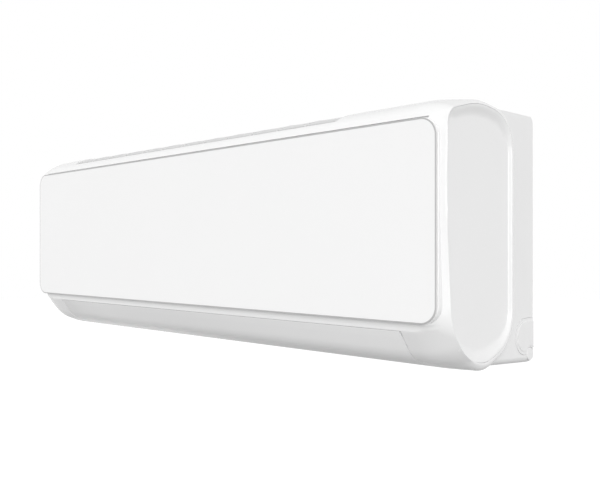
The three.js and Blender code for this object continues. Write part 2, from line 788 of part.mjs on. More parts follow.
/** End plate that carries the three coil sections and reaches the chassis's back wall. */
function coilBracket(x0, x1) {
  const reach = chassisBack - chassisWall - 0.4;
  const carrier = [
    [24, -55], [56, -55], [66, 2], [66, 64], [100, 96], [120, 92], [152, 26], [186, 24],
    [reach, 48], [reach, 70], [170, 62], [120, 128], [84, 132], [24, 74],
  ].map(([y, z]) => new THREE.Vector2(y, z));
  const tubeHoles = coilSections.map((section) => alongX(coilOutline(section, -4.5), x0 - 3, x1 + 3));
  return cut(solid(alongX(carrier, x0, x1)), ...tubeHoles);
}
piece('coil_bracket_left', coilBracket(coilLeft - runningGap - coilPlate, coilLeft - runningGap), steel());
piece('coil_bracket_right', coilBracket(coilRight + runningGap, coilRight + runningGap + coilPlate), steel());

// ---------------------------------------------------------------- cross-flow fan and its motor

const fanLeft = airLeft + 5;
const fanRight = airRight - 5;

function fanWheel() {
  const discs = [fanLeft, airMiddle - 1.5, fanRight - 3].map(
    (x) => rod(fanRadius - 1, [x, fanY, fanZ], [x + 3, fanY, fanZ], 32));
  let wheel = join(...discs);
  for (let k = 0; k < fanBladeCount; k++) {
    const turn = (2 * Math.PI * k) / fanBladeCount;
    const profile = [[11, -3.4], [0.6, 1.2], [0.6, 3], [6.6, 1.6], [11.6, -2.3]].map(([below, side]) => {
      const point = new THREE.Vector2(fanRadius - below, side).rotateAround(new THREE.Vector2(), turn);
      return new THREE.Vector2(fanY + point.x, fanZ + point.y);
    });
    wheel = wheel.add(solid(alongX(profile, fanLeft + 0.5, fanRight - 0.5)));
  }
  const stub = rod(fanShaftRadius, [airLeft - 5, fanY, fanZ], [fanLeft + 2, fanY, fanZ]);
  return wheel.add(solid(stub));
}
piece('fan_wheel', fanWheel(), darkPlastic());

const motorLeft = airRight + bulkheadWall + 3;
const motorRight = motorLeft + 66;
const shaftEnd = motorRight - 12;
piece('motor_shaft', solid(
  rod(fanShaftRadius, [fanRight + runningGap, fanY, fanZ], [shaftEnd, fanY, fanZ])), steel());

function bearing() {
  const outer = airLeft - bulkheadWall;
  const seat = rod(bearingSeat - runningGap, [outer + 0.1, fanY, fanZ], [airLeft - 0.4, fanY, fanZ], 20);
  const flange = rod(bearingSeat + 3, [airLeft - 6, fanY, fanZ], [outer - runningGap, fanY, fanZ], 20);
  const neck = rod(bearingSeat - 1, [airLeft - 4, fanY, fanZ], [airLeft - 1, fanY, fanZ], 20);
  const bore = rod(fanShaftRadius + runningGap, [airLeft - 9, fanY, fanZ], [airLeft + 3, fanY, fanZ]);
  return cut(join(seat, flange, neck), bore);
}
piece('fan_bearing', bearing(), darkPlastic());

function fanMotor() {
  const body = rod(motorRadius, [motorLeft + 8, fanY, fanZ], [motorRight - 6, fanY, fanZ], 24);
  const nose = rod(13, [motorLeft, fanY, fanZ], [motorLeft + 10, fanY, fanZ], 16);
  const tail = rod(13, [motorRight - 8, fanY, fanZ], [motorRight, fanY, fanZ], 16);
  return cut(
    join(body, nose, tail),
    rod(fanShaftRadius + runningGap, [motorLeft - 5, fanY, fanZ], [shaftEnd + 1, fanY, fanZ]),
  );
}
piece('fan_motor', fanMotor(), darkPlastic());

function motorClamp() {
  const x0 = motorLeft + 22;
  const x1 = motorRight - 20;
  const ring = rod(motorRadius + 4, [x0, fanY, fanZ], [x1, fanY, fanZ], 24);
  const foot = block(x0, x1, fanY + motorRadius, chassisBack - chassisWall - runningGap, fanZ - 10, fanZ + 10);
  const bore = rod(motorRadius + runningGap + 0.1, [x0 - 5, fanY, fanZ], [x1 + 5, fanY, fanZ], 24);
  return cut(join(ring, foot), bore);
}
piece('motor_clamp', motorClamp(), innerPlastic());

// ---------------------------------------------------------------- louver

const louverRear = 80;

function louverShell() {
  const inner = inset(middleSection, louverWall);
  const louverTop = outletTop - louverGap;
  const window = [[-5, louverTop], [louverRear, louverTop], [louverRear, -170], [-5, -170]].map(
    ([y, z]) => new THREE.Vector2(y, z));
  let shell = solid(alongX(middleSection, louverLeft, louverRight));
  shell = cut(shell, alongX(inner, louverLeft - 5, louverRight + 5));
  shell = shell.intersect(solid(alongX(window, louverLeft - 5, louverRight + 5)));
  const edge = [[-5, -90], [9.9, -90], [9.9, louverTop - 0.7], [-5, louverTop - 0.7]];
  return cut(shell, alongX(edge.map(([y, z]) => new THREE.Vector2(y, z)), louverLeft - 5, louverRight + 5));
}

function louver() {
  const gusset = [[30, -127], [56, -130], [66, -130], [78, -132], [78, -148], [60, -144], [36, -134]].map(
    ([y, z]) => new THREE.Vector2(y, z));
  const within = solid(alongX(inset(middleSection, louverWall / 2), louverLeft, louverRight));
  let body = louverShell();
  for (const x of [louverLeft, louverRight - 3]) {
    body = body.add(solid(alongX(gusset, x, x + 3)).intersect(within));
  }
  const pin = louverPinRadius;
  body = body.add(solid(rod(pin, [louverLeft - 5, louverY, louverZ], [louverLeft + 1, louverY, louverZ])));
  return body;
}
const driveBore = 1.6;
const driveHole = rod(
  driveBore + runningGap, [louverRight - 5, louverY, louverZ], [louverRight + 5, louverY, louverZ], 10);
piece('louver', cut(louver(), driveHole), white());

const louverMotorX = outletRight + cheekWall + runningGap;
piece('louver_shaft', join(
  rod(driveBore, [louverRight - 3, louverY, louverZ], [louverMotorX + 12, louverY, louverZ], 10),
  rod(louverPinRadius, [louverRight + runningGap, louverY, louverZ], [louverMotorX - 0.5, louverY, louverZ]),
), steel());

function louverMotor() {
  const y = louverY + 8;
  const z = louverZ + 9;
  const can = rod(13, [louverMotorX, y, z], [louverMotorX + 19, y, z], 20);
  const bore = rod(
    driveBore + runningGap, [louverMotorX - 5, louverY, louverZ], [louverMotorX + 13, louverY, louverZ], 10);
  return cut(solid(can), bore);
}
piece('louver_motor', louverMotor(), steel());

// ---------------------------------------------------------------- vertical vanes and link bars

/** A place on the outlet floor: forward along the air, and up from the floor. */
const onFloor = (forward, up) =>
  vaneBase.clone().addScaledVector(floorAlong, forward).addScaledVector(floorUp, up);

function vane(x) {
  const gap = 0.6; // under the vane's lower edge
  const outline = [
    onFloor(-vaneRearChord, gap + 1), onFloor(vaneFrontChord, gap), onFloor(vaneFrontChord, vaneHeight - 6),
    onFloor(vaneFrontChord - 5, vaneHeight), onFloor(-vaneRearChord + 3, vaneHeight),
    onFloor(-vaneRearChord, vaneHeight - 4),
  ];
  const blade = alongX(outline, x - vaneThickness / 2, x + vaneThickness / 2);
  const low = onFloor(0, -scrollWall);
  const high = onFloor(0, 4);
  const pivot = rod(vanePinRadius, [x, low.x, low.y], [x, high.x, high.y], 10);
  const crankLow = onFloor(linkCrank, vaneHeight - 3);
  const crankHigh = onFloor(linkCrank, linkHeight + 3.6);
  const crank = rod(linkPinRadius, [x, crankLow.x, crankLow.y], [x, crankHigh.x, crankHigh.y], 8);
  return join(blade, pivot, crank);
}
vanePlaces.forEach((x, i) => piece(`vane_${i + 1}`, vane(x), innerPlastic()));

/** A bar that the cranks of one group of vanes hang in; its slots leave room for their arc. */
function linkBar(places) {
  const front = linkCrank + 4.5;
  const rear = linkCrank - 6;
  const outline = [onFloor(rear, linkHeight), onFloor(front, linkHeight), onFloor(front, linkHeight + 2.5),
    onFloor(rear, linkHeight + 2.5)];
  const bar = solid(alongX(outline, places[0] - 8, places[places.length - 1] + 8));
  const slots = places.map((x) => {
    const reach = [onFloor(linkCrank - 3.6, linkHeight - 3), onFloor(linkCrank + 2.2, linkHeight - 3),
      onFloor(linkCrank + 2.2, linkHeight + 6), onFloor(linkCrank - 3.6, linkHeight + 6)];
    return alongX(reach, x - linkPinRadius - 0.5, x + linkPinRadius + 0.5);
  });
  return cut(bar, ...slots);
}
piece('vane_link_left', linkBar(vanePlaces.slice(0, vaneCount / 2)), innerPlastic());
piece('vane_link_right', linkBar(vanePlaces.slice(vaneCount / 2)), innerPlastic());

// ---------------------------------------------------------------- air filters

const filterY = 18.3;
const filterBottom = panLipTop + runningGap;
const filterBendRadius = 58;

/** A filter follows the front of the coil and bends back over its top. */
function filter(x0, x1) {
  const top = 134;
  const centre = [filterY + filterBendRadius, top - filterBendRadius];
  const outline = (offset) => {
    const points = [new THREE.Vector2(filterY + offset, filterBottom)];
    for (let k = 0; k <= 8; k++) {
      const angle = (Math.PI / 2) * (k / 8);
      const radius = filterBendRadius - offset;
      const [y, z] = [centre[0] - radius * Math.cos(angle), centre[1] + radius * Math.sin(angle)];
      points.push(new THREE.Vector2(y, z));
    }
    points.push(new THREE.Vector2(122, top - offset));
    return points;
  };
  const half = filterThickness / 2;
  const sheet = solid(alongX([...outline(-half), ...outline(half).reverse()], x0, x1));
  const columns = 5;
  const rows = 3;
  const pitchX = (x1 - x0 - 6) / columns;
  const pitchZ = 42;
  const holes = [];
  for (let i = 0; i < columns; i++) {
    for (let j = 0; j < rows; j++) {
      const x = x0 + 6 + pitchX * i;
      const z = filterBottom + 8 + pitchZ * j;
      holes.push(block(x, x + pitchX - 6, filterY - 5, filterY + 5, z, z + pitchZ - 6));
    }
  }
  return cut(sheet, ...holes);
}
piece('filter_left', filter(-328, -25), innerPlastic());
piece('filter_right', filter(-19, 283), innerPlastic());

// ---------------------------------------------------------------- control box

const boxLeft = airRight + bulkheadWall + 28;
const boxRight = 424;
const boxFront = 22;
const boxBack = 72;
const boxBottom = -60;
const boxTop = 104;

function controlBox() {
  const wall = 2;
  const shell = cut(
    solid(block(boxLeft, boxRight, boxFront, boxBack, boxBottom, boxTop)),
    block(boxLeft + wall, boxRight - wall, boxFront - 5, boxBack - wall, boxBottom + wall, boxTop - wall),
  );
  const reach = coilRight + 2 * runningGap + coilPlate;
  const tabs = [10, 40].map((z) => block(reach, boxLeft + 1, 60, 66, z, z + 8));
  return tabs.reduce((sum, tab) => sum.add(solid(tab)), shell);
}
piece('control_box', controlBox(), innerPlastic());
piece('control_box_cover', solid(
  block(boxLeft, boxRight, boxFront - runningGap - 2, boxFront - runningGap, boxBottom, boxTop)), steel());

const boardBack = boxBack - 2 - runningGap;
piece('control_board', join(
  block(boxLeft + 6, boxRight - 6, boardBack - 1.6, boardBack, boxBottom + 34, boxTop - 8),
  block(boxLeft + 14, boxLeft + 44, boardBack - 24, boardBack - 1, 40, 74),
  block(boxLeft + 58, boxLeft + 74, boardBack - 16, boardBack - 1, 10, 30),
), boardGreen());
piece('terminal_block', join(
  block(boxLeft + 10, boxRight - 12, boardBack - 16, boardBack, boxBottom + 6, boxBottom + 24),
  block(boxLeft + 16, boxRight - 18, boardBack - 20, boardBack - 4, boxBottom + 10, boxBottom + 20),
), darkPlastic());

// ---------------------------------------------------------------- refrigerant pipes

const suctionRadius = 4.76;
const liquidRadius = 3.18;
const pipeStart = coilRight + 2 * runningGap + coilPlate;
const pipeY = 196;
const suctionEnd = 60;
const liquidEnd = 90;

piece('suction_pipe', solid(bentTube(suctionRadius, [
  [pipeStart, 138, 58], [386, 138, 58], [386, pipeY, 30], [386, pipeY, -106], [suctionEnd, pipeY, -106],
], 24)), copper());
piece('liquid_pipe', solid(bentTube(liquidRadius, [
  [pipeStart, 152, 40], [398, 152, 40], [398, pipeY, 10], [398, pipeY, -130], [liquidEnd, pipeY, -130],
], 20)), copper());
piece('suction_flare_nut', solid(
  rod(11, [suctionEnd - 20 - runningGap, pipeY, -106], [suctionEnd - runningGap, pipeY, -106], 6)), brass());
piece('liquid_flare_nut', solid(
  rod(8.5, [liquidEnd - 16 - runningGap, pipeY, -130], [liquidEnd - runningGap, pipeY, -130], 6)), brass());

// ---------------------------------------------------------------- mounting plate

function mountingPlate() {
  const front = overallDepth - plateThickness;
  const sheetTop = 132;
  const sheetBottom = -76;
  const half = 280;
  const legs = [-220, 220];
  const feetBottom = -146;
  let plate = solid(alongY(rectangle(-half, half, sheetBottom, sheetTop, 8, 2), front, overallDepth));
  for (const x of legs) {
    plate = plate.add(solid(block(x - 20, x + 20, front, overallDepth, feetBottom, sheetBottom + 5)));
  }
  for (const x of plateHooks) {
    const reach = chassisBack - chassisWall - 3.6;
    plate = plate.add(solid(block(x - 9, x + 9, reach, front + 0.6, hookZ, hookZ + 2)));
    plate = plate.add(solid(block(x - 9, x + 9, reach, reach + 2, hookZ, hookZ + 9)));
  }
  const holes = [];
  for (const x of [-250, -125, 125, 250]) {
    for (const z of [96, -50]) holes.push(rod(3, [x, front - 5, z], [x, overallDepth + 5, z], 12));
  }
  const windows = [[-240, -150], [-105, -35], [35, 105], [150, 240]].map(
    ([x0, x1]) => alongY(rectangle(x0, x1, -24, 64, 8, 2), front - 5, overallDepth + 5));
  return cut(plate, ...holes, ...windows);
}
piece('mounting_plate', mountingPlate(), steel());

// ---------------------------------------------------------------- small parts behind the panel

const fasciaGap = 0.3;
piece('display_module', join(
  block(300, 348, 6, casingFrontFace - fasciaGap, displayBottom, displayTop),
  block(306, 342, 4.4, 7, displayBottom + displayRim, displayTop - displayRim),
), darkPlastic());

function manualButton() {
  const stem = rod(buttonRadius, [buttonX, 9.3, buttonZ], [buttonX, 15.5, buttonZ], 16);
  const flangeFront = casingFrontBack + runningGap;
  const flange = rod(buttonRadius + 1.6, [buttonX, flangeFront, buttonZ], [buttonX, 16, buttonZ], 16);
  return join(stem, flange);
}
piece('manual_button', manualButton(), innerPlastic());

screwPlaces.forEach((x, i) => {
  const screw = join(
    rod(1.8, [x, casingFrontFace - 1, screwZ], [x, 16.8, screwZ], 10),
    rod(3.8, [x, casingFrontFace - 2.2, screwZ], [x, casingFrontFace - runningGap, screwZ], 12),
  );
  piece(`casing_screw_${i + 1}`, screw, steel());
});

export default unit;
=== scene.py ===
"""Looks of a wall-hung air conditioner indoor unit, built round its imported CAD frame.

Positions are written as (x, depth, z) in millimetres: x to the right, depth back from the front glass, z up.
"""

import json
import logging
import math
from dataclasses import dataclass
from enum import Enum
from typing import Callable, ClassVar, Optional, Sequence

import bmesh
import bpy
import numpy as np
from mathutils import Matrix, Vector

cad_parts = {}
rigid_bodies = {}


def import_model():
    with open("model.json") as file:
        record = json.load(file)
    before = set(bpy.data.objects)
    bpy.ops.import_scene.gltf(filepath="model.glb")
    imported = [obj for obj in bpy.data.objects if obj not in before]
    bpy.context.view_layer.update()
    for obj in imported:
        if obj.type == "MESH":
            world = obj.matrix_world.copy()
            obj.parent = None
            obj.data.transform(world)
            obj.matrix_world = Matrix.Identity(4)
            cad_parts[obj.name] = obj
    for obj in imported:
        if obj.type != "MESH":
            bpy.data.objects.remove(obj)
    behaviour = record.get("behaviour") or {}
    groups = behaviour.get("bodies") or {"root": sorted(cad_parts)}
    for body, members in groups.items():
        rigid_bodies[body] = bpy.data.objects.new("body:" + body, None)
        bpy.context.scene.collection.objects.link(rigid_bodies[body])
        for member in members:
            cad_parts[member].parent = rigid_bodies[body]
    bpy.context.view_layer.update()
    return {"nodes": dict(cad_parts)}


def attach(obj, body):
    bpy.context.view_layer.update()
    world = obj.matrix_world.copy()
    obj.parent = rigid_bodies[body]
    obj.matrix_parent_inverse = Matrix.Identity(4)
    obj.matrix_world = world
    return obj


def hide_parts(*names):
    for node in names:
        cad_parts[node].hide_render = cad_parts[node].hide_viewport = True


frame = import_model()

LOG = logging.getLogger("indoor_unit")
MM = 0.001
OVERALL_DEPTH = 217.0
BEND_STEPS = 8

Point2 = tuple[float, float]
Corner = tuple[float, ...]
Place = tuple[float, float, float]
Piece = bpy.types.Object
Rings = Sequence[Sequence[Vector]]


def place(x: float, depth: float, z: float) -> Vector:
    """Turns millimetres in the unit's own terms into metres in the row frame."""
    return Vector((x * MM, (depth - OVERALL_DEPTH) * MM, z * MM))


class Run(Enum):
    """The direction in which a section is run."""

    ACROSS = "x"
    INWARD = "y"
    UP = "z"

    def point(self, u: float, v: float, along: float) -> Vector:
        """Gives the place of a section point (u, v) at a distance along the run."""
        if self is Run.ACROSS:
            return place(along, u, v)
        if self is Run.INWARD:
            return place(u, along, v)
        return place(u, v, along)


# ------------------------------------------------------------------ outlines


def rounded(corners: Sequence[Corner], turn_step: float = 4.0,
            steps: Optional[Sequence[int]] = None) -> list[Point2]:
    """Rounds the corners of a closed outline.

    Args:
        corners: (u, v) or (u, v, radius) for each corner.
        turn_step: Degrees that one segment of an arc turns through.
        steps: Segments for each corner, where outlines have to match point by point.

    Returns:
        The outline's points.
    """
    points: list[Point2] = []
    count = len(corners)
    for i, corner in enumerate(corners):
        here = np.array(corner[:2], float)
        radius = corner[2] if len(corner) > 2 else 0.0
        if radius <= 0:
            points.append((float(here[0]), float(here[1])))
            continue
        back = np.array(corners[i - 1][:2], float) - here
        on = np.array(corners[(i + 1) % count][:2], float) - here
        back /= np.linalg.norm(back)
        on /= np.linalg.norm(on)
        half = math.acos(max(-1.0, min(1.0, float(back @ on)))) / 2
        middle = (back + on) / np.linalg.norm(back + on)
        centre = here + middle * radius / math.sin(half)
        start = here + back * radius / math.tan(half) - centre
        side = math.copysign(1.0, back[0] * on[1] - back[1] * on[0])
        turn = -side * (math.pi - 2 * half)
        number = steps[i] if steps else max(2, round(abs(math.degrees(turn)) / turn_step))
        for k in range(number + 1):
            angle = turn * k / number
            c, s = math.cos(angle), math.sin(angle)
            points.append((float(centre[0] + c * start[0] - s * start[1]),
                           float(centre[1] + s * start[0] + c * start[1])))
    return points


def inset(points: Sequence[Point2], distance: float) -> list[Point2]:
    """Moves a closed outline inwards by a distance."""
    p = np.array(points, float)
    before, after = np.roll(p, 1, 0), np.roll(p, -1, 0)
    area = float(np.sum(p[:, 0] * after[:, 1] - after[:, 0] * p[:, 1]))
    along = after - before
    along /= np.linalg.norm(along, axis=1)[:, None]
    inward = np.column_stack((-along[:, 1], along[:, 0])) * math.copysign(1.0, area)
    return [(float(u), float(v)) for u, v in p + inward * distance]


def box_outline(u0: float, u1: float, v0: float, v1: float, radius: float = 0.0,
                turn_step: float = 6.0) -> list[Point2]:
    """Gives a rectangle from u0 to u1 and v0 to v1 with rounded corners."""
    return rounded([(u0, v0, radius), (u1, v0, radius), (u1, v1, radius), (u0, v1, radius)], turn_step)


# ------------------------------------------------------------------ modelling


def deselect() -> None:
    """Deselects every object."""
    for other in bpy.context.view_layer.objects:
        other.select_set(False)


def activate(piece: Piece) -> None:
    """Makes one object the only selected and active one."""
    deselect()
    piece.select_set(True)
    bpy.context.view_layer.objects.active = piece


def settle(piece: Piece) -> Piece:
    """Puts a piece's place into its mesh, so its object sits at the origin."""
    activate(piece)
    bpy.ops.object.transform_apply(location=True, rotation=True, scale=True)
    return piece


def modify(piece: Piece, kind: str, **settings: object) -> Piece:
    """Adds a modifier and applies it.

    Args:
        piece: The object to change.
        kind: The modifier's type.
        settings: The modifier's values.

    Returns:
        The changed object.
    """
    activate(piece)
    modifier = piece.modifiers.new(kind.title(), kind)
    for key, value in settings.items():
        setattr(modifier, key, value)
    bpy.ops.object.modifier_apply(modifier=modifier.name)
    return piece


def remove(piece: Piece) -> None:
    """Deletes an object and its mesh."""
    mesh = piece.data
    bpy.data.objects.remove(piece)
    if mesh.users == 0:
        bpy.data.meshes.remove(mesh)


def combine(piece: Piece, operation: str, tools: Sequence[Piece]) -> Piece:
    """Cuts a closed piece by other closed ones, or adds them to it.

    Args:
        piece: The closed piece that stays.
        operation: DIFFERENCE or UNION.
        tools: The other closed pieces, which are removed.

    Returns:
        The changed piece.
    """
    for tool in tools:
        modify(piece, "BOOLEAN", operation=operation, object=tool, solver="MANIFOLD")
        remove(tool)
    return piece


def join(pieces: Sequence[Piece]) -> Piece:
    """Joins several objects.

    Args:
        pieces: The objects.

    Returns:
        The first one, which then holds them all.
    """
    deselect()
    for piece in pieces:
        piece.select_set(True)
    bpy.context.view_layer.objects.active = pieces[0]
    bpy.ops.object.join()
    return pieces[0]


def smooth(piece: Piece, degrees: float = 32.0) -> Piece:
    """Shades a piece smooth, apart from edges that turn by more than an angle."""
    activate(piece)
    bpy.ops.object.shade_smooth_by_angle(angle=math.radians(degrees))
    return piece


def level(piece: Piece) -> Piece:
    """Keeps the flat faces of a piece evenly shaded beside its rounded edges."""
    return modify(piece, "WEIGHTED_NORMAL", keep_sharp=True, weight=60)


def soften(piece: Piece, width: float, segments: int = 2, degrees: float = 40.0) -> Piece:
    """Rounds a piece's sharp edges.

    Args:
        piece: The piece.
        width: The rounding's width in millimetres.
        segments: Steps across the rounding.
        degrees: The least turn that counts as sharp.

    Returns:
        The changed piece.
    """
    return modify(piece, "BEVEL", width=width * MM, segments=segments, limit_method="ANGLE",
                  angle_limit=math.radians(degrees), miter_outer="MITER_ARC", use_clamp_overlap=True)


def section(name: str, outline: Sequence[Point2], run: Run, low: float, high: float) -> Piece:
    """Runs a flat outline into a solid, from a circle whose points are moved to the outline.

    Args:
        name: The new object's name.
        outline: The outline's points, in millimetres.
        run: The direction of the run.
        low: Where the run starts.
        high: Where it ends.

    Returns:
        The closed solid.
    """
    deselect()
    bpy.ops.mesh.primitive_circle_add(vertices=len(outline), radius=1.0, fill_type="NGON")
    piece = bpy.context.object
    piece.name = name
    for vertex, (u, v) in zip(piece.data.vertices, outline):
        vertex.co = run.point(u, v, low)
    bpy.ops.object.mode_set(mode="EDIT")
    bpy.ops.mesh.select_all(action="SELECT")
    travel = run.point(0, 0, high) - run.point(0, 0, low)
    bpy.ops.mesh.extrude_region_move(TRANSFORM_OT_translate={"value": travel})
    bpy.ops.mesh.select_all(action="SELECT")
    bpy.ops.mesh.normals_make_consistent(inside=False)
    bpy.ops.object.mode_set(mode="OBJECT")
    return piece


def link(name: str, data: bpy.types.ID) -> Piece:
    """Adds an object with this data to the scene."""
    piece = bpy.data.objects.new(name, data)
    bpy.context.scene.collection.objects.link(piece)
    return piece


def bridge(mesh: bmesh.types.BMesh, rings: Rings, closed: bool = False) -> list[list[bmesh.types.BMVert]]:
    """Lays a skin through rings of equally many places.

    Args:
        mesh: The mesh that takes the skin.
        rings: The rings, in order.
        closed: Whether the skin runs on from the last ring to the first one.

    Returns:
        The vertices of each ring.
    """
    levels = [[mesh.verts.new(p) for p in ring] for ring in rings]
    count = len(rings[0])
    for a, b in zip(levels, levels[1:] + (levels[:1] if closed else [])):
        for i in range(count):
            mesh.faces.new((a[i], a[(i + 1) % count], b[(i + 1) % count], b[i]))
    return levels


def as_piece(name: str, mesh: bmesh.types.BMesh) -> Piece:
    """Turns a closed mesh into an object with its normals outward.

    Args:
        name: The new object's name.
        mesh: The mesh, which is freed.

    Returns:
        The piece.
    """
    bmesh.ops.recalc_face_normals(mesh, faces=mesh.faces)
    data = bpy.data.meshes.new(name)
    mesh.to_mesh(data)
    mesh.free()
    return link(name, data)


def skin_over(name: str, rings: Rings) -> Piece:
    """Makes a closed skin through rings of equally many places, from one end to the other.

    Args:
        name: The new object's name.
        rings: The rings, from one end to the other.

    Returns:
        The closed piece.
    """
    mesh = bmesh.new()
    levels = bridge(mesh, rings)
    mesh.faces.new(levels[0])
    mesh.faces.new(levels[-1])
    return as_piece(name, mesh)


def ring_over(name: str, rings: Rings) -> Piece:
    """Makes a closed band whose section runs through the rings and back to the first one."""
    mesh = bmesh.new()
    bridge(mesh, rings, closed=True)
    return as_piece(name, mesh)


def slab(name: str, low: Place, high: Place) -> Piece:
    """Makes a plain block, as a start or as a cutter.

    Args:
        name: The new object's name.
        low: One corner.
        high: The corner across from it.

    Returns:
        The block.
    """
    deselect()
    a, b = place(*low), place(*high)
    bpy.ops.mesh.primitive_cube_add(size=1.0, location=(a + b) / 2, scale=tuple(b - a))
    piece = bpy.context.object
    piece.name = name
    return settle(piece)


def cross_slots(x: float, z: float, reach: float, half: float, near: float, far: float) -> list[Piece]:
    """Makes the two crossed cutters of a screw's head.

    Args:
        x: The screw's place along the unit.
        z: Its height.
        reach: Half a slot's length.
        half: Half its width.
        near: The depth where the slots start.
        far: The depth of their floor.

    Returns:
        The two cutters.
    """
    return [slab("slot", (x - a, near, z - b), (x + a, far, z + b))
            for a, b in ((reach, half), (half, reach))]


def bar(name: str, radius: float, start: Place, end: Place,
        sides: int = 32) -> Piece:
    """Makes a round bar.

    Args:
        name: The new object's name.
        radius: Its radius in millimetres.
        start: The middle of one end.
        end: The middle of the other end.
        sides: Flats round it.

    Returns:
        The bar.
    """
    deselect()
    a, b = place(*start), place(*end)
    turn = (b - a).to_track_quat("Z", "Y").to_euler()
    bpy.ops.mesh.primitive_cylinder_add(vertices=sides, radius=radius * MM, depth=(b - a).length,
                                        location=(a + b) / 2, rotation=turn)
    piece = bpy.context.object
    piece.name = name
    return settle(piece)


def copy_moved(piece: Piece, name: str, offset: Vector) -> Piece:
    """Copies a piece with a mesh of its own.

    Args:
        piece: The piece to copy.
        name: The copy's name.
        offset: How far the copy is moved, in metres.

    Returns:
        The copy.
    """
    deselect()
    other = link(name, piece.data.copy())
    other.data.transform(Matrix.Translation(offset))
    return other


def turned_copy(piece: Piece, name: str, centre: Vector, degrees: float) -> Piece:
    """Copies a piece with a mesh of its own, turned about a line along x.

    Args:
        piece: The piece to copy.
        name: The copy's name.
        centre: A place on the line, in metres.
        degrees: How far the copy is turned.

    Returns:
        The copy.
    """
    other = copy_moved(piece, name, Vector((0, 0, 0)))
    turn = Matrix.Rotation(math.radians(degrees), 4, "X")
    other.data.transform(Matrix.Translation(centre) @ turn @ Matrix.Translation(-centre))
    return other


def tube(name: str, radius: float, path: Sequence[Place], bend: float,
         sides: int = 16) -> Piece:
    """Makes a round tube with closed ends.

    Args:
        name: The new object's name.
        radius: Its radius in millimetres.
        path: The corners of its path.
        bend: How far from a corner its bend starts.
        sides: Flats round it.

    Returns:
        The tube.
    """
    places = [place(*p) for p in path]
    line: list[Vector] = [places[0]]
    for i in range(1, len(places) - 1):
        into = places[i] + (places[i - 1] - places[i]).normalized() * bend * MM
        out = places[i] + (places[i + 1] - places[i]).normalized() * bend * MM
        for k in range(BEND_STEPS + 1):
            t = k / BEND_STEPS
            line.append(into * (1 - t) ** 2 + places[i] * 2 * t * (1 - t) + out * t ** 2)
    line.append(places[-1])
    curve = bpy.data.curves.new(name, "CURVE")
    curve.dimensions = "3D"
    curve.bevel_depth = radius * MM
    curve.bevel_resolution = max(1, sides // 4 - 1)
    curve.use_fill_caps = True
    spline = curve.splines.new("POLY")
    spline.points.add(len(line) - 1)
    for point, co in zip(spline.points, line):
        point.co = (*co, 1.0)
    activate(link(name, curve))
    bpy.ops.object.convert(target="MESH")
    return bpy.context.object


# ------------------------------------------------------------------ finishes


def group_socket(tree: bpy.types.NodeTree, name: str, way: str, kind: str = "NodeSocketFloat") -> None:
    """Adds a named socket to a shader group."""
    tree.interface.new_socket(name=name, in_out=way, socket_type=kind)


def add(tree: bpy.types.NodeTree, kind: str, operation: str = "", **values: object) -> bpy.types.Node:
    """Adds a shader node.

    Args:
        tree: The tree that takes it.
        kind: Its type, without the words ShaderNode.
        operation: What it does, where it is a node with a choice of operations.
        values: The values of its inputs, by their names in small letters with underscores.

    Returns:
        The node.
    """
    made = tree.nodes.new(f"ShaderNode{kind}")
    if operation:
        made.operation = operation
    for name, value in values.items():
        made.inputs[name.replace("_", " ").title()].default_value = value
    return made


def wire(tree: bpy.types.NodeTree, *pairs: tuple[bpy.types.NodeSocket, bpy.types.NodeSocket]) -> None:
    """Links outputs to inputs, given as pairs."""
    for source, target in pairs:
        tree.links.new(source, target)


def surface_group() -> bpy.types.NodeTree:
    """Builds the shared effect of moulded and machined surfaces.

    Returns:
        A group with inputs Tone size, Grain size, Marks size and Stretch. Its outputs are Tone (a slow cloudy
        mask), Grain (a fine height) and Marks (a sparse mask of faint handling marks).
    """
    name = "Surface variation"
    if name in bpy.data.node_groups:
        return bpy.data.node_groups[name]
    tree = bpy.data.node_groups.new(name, "ShaderNodeTree")
    for label in ("Tone size", "Grain size", "Marks size"):
        group_socket(tree, label, "INPUT")
    group_socket(tree, "Stretch", "INPUT", "NodeSocketVector")
    for label in ("Tone", "Grain", "Marks"):
        group_socket(tree, label, "OUTPUT")
    entry, leave = tree.nodes.new("NodeGroupInput"), tree.nodes.new("NodeGroupOutput")
    where = add(tree, "TexCoord").outputs["Object"]
    stretched = add(tree, "VectorMath", "MULTIPLY")
    wire(tree, (where, stretched.inputs[0]), (entry.outputs["Stretch"], stretched.inputs[1]))
    for label, source, detail, low, high in (("Tone", where, 3.0, 0.3, 0.7),
                                             ("Grain", stretched.outputs[0], 2.0, 0.3, 0.7),
                                             ("Marks", where, 6.0, 0.62, 0.78)):
        noise = add(tree, "TexNoise", detail=detail)
        shape = add(tree, "MapRange", from_min=low, from_max=high)
        wire(tree, (source, noise.inputs["Vector"]), (entry.outputs[f"{label} size"], noise.inputs["Scale"]),
             (noise.outputs["Fac"], shape.inputs["Value"]), (shape.outputs["Result"], leave.inputs[label]))
    return tree


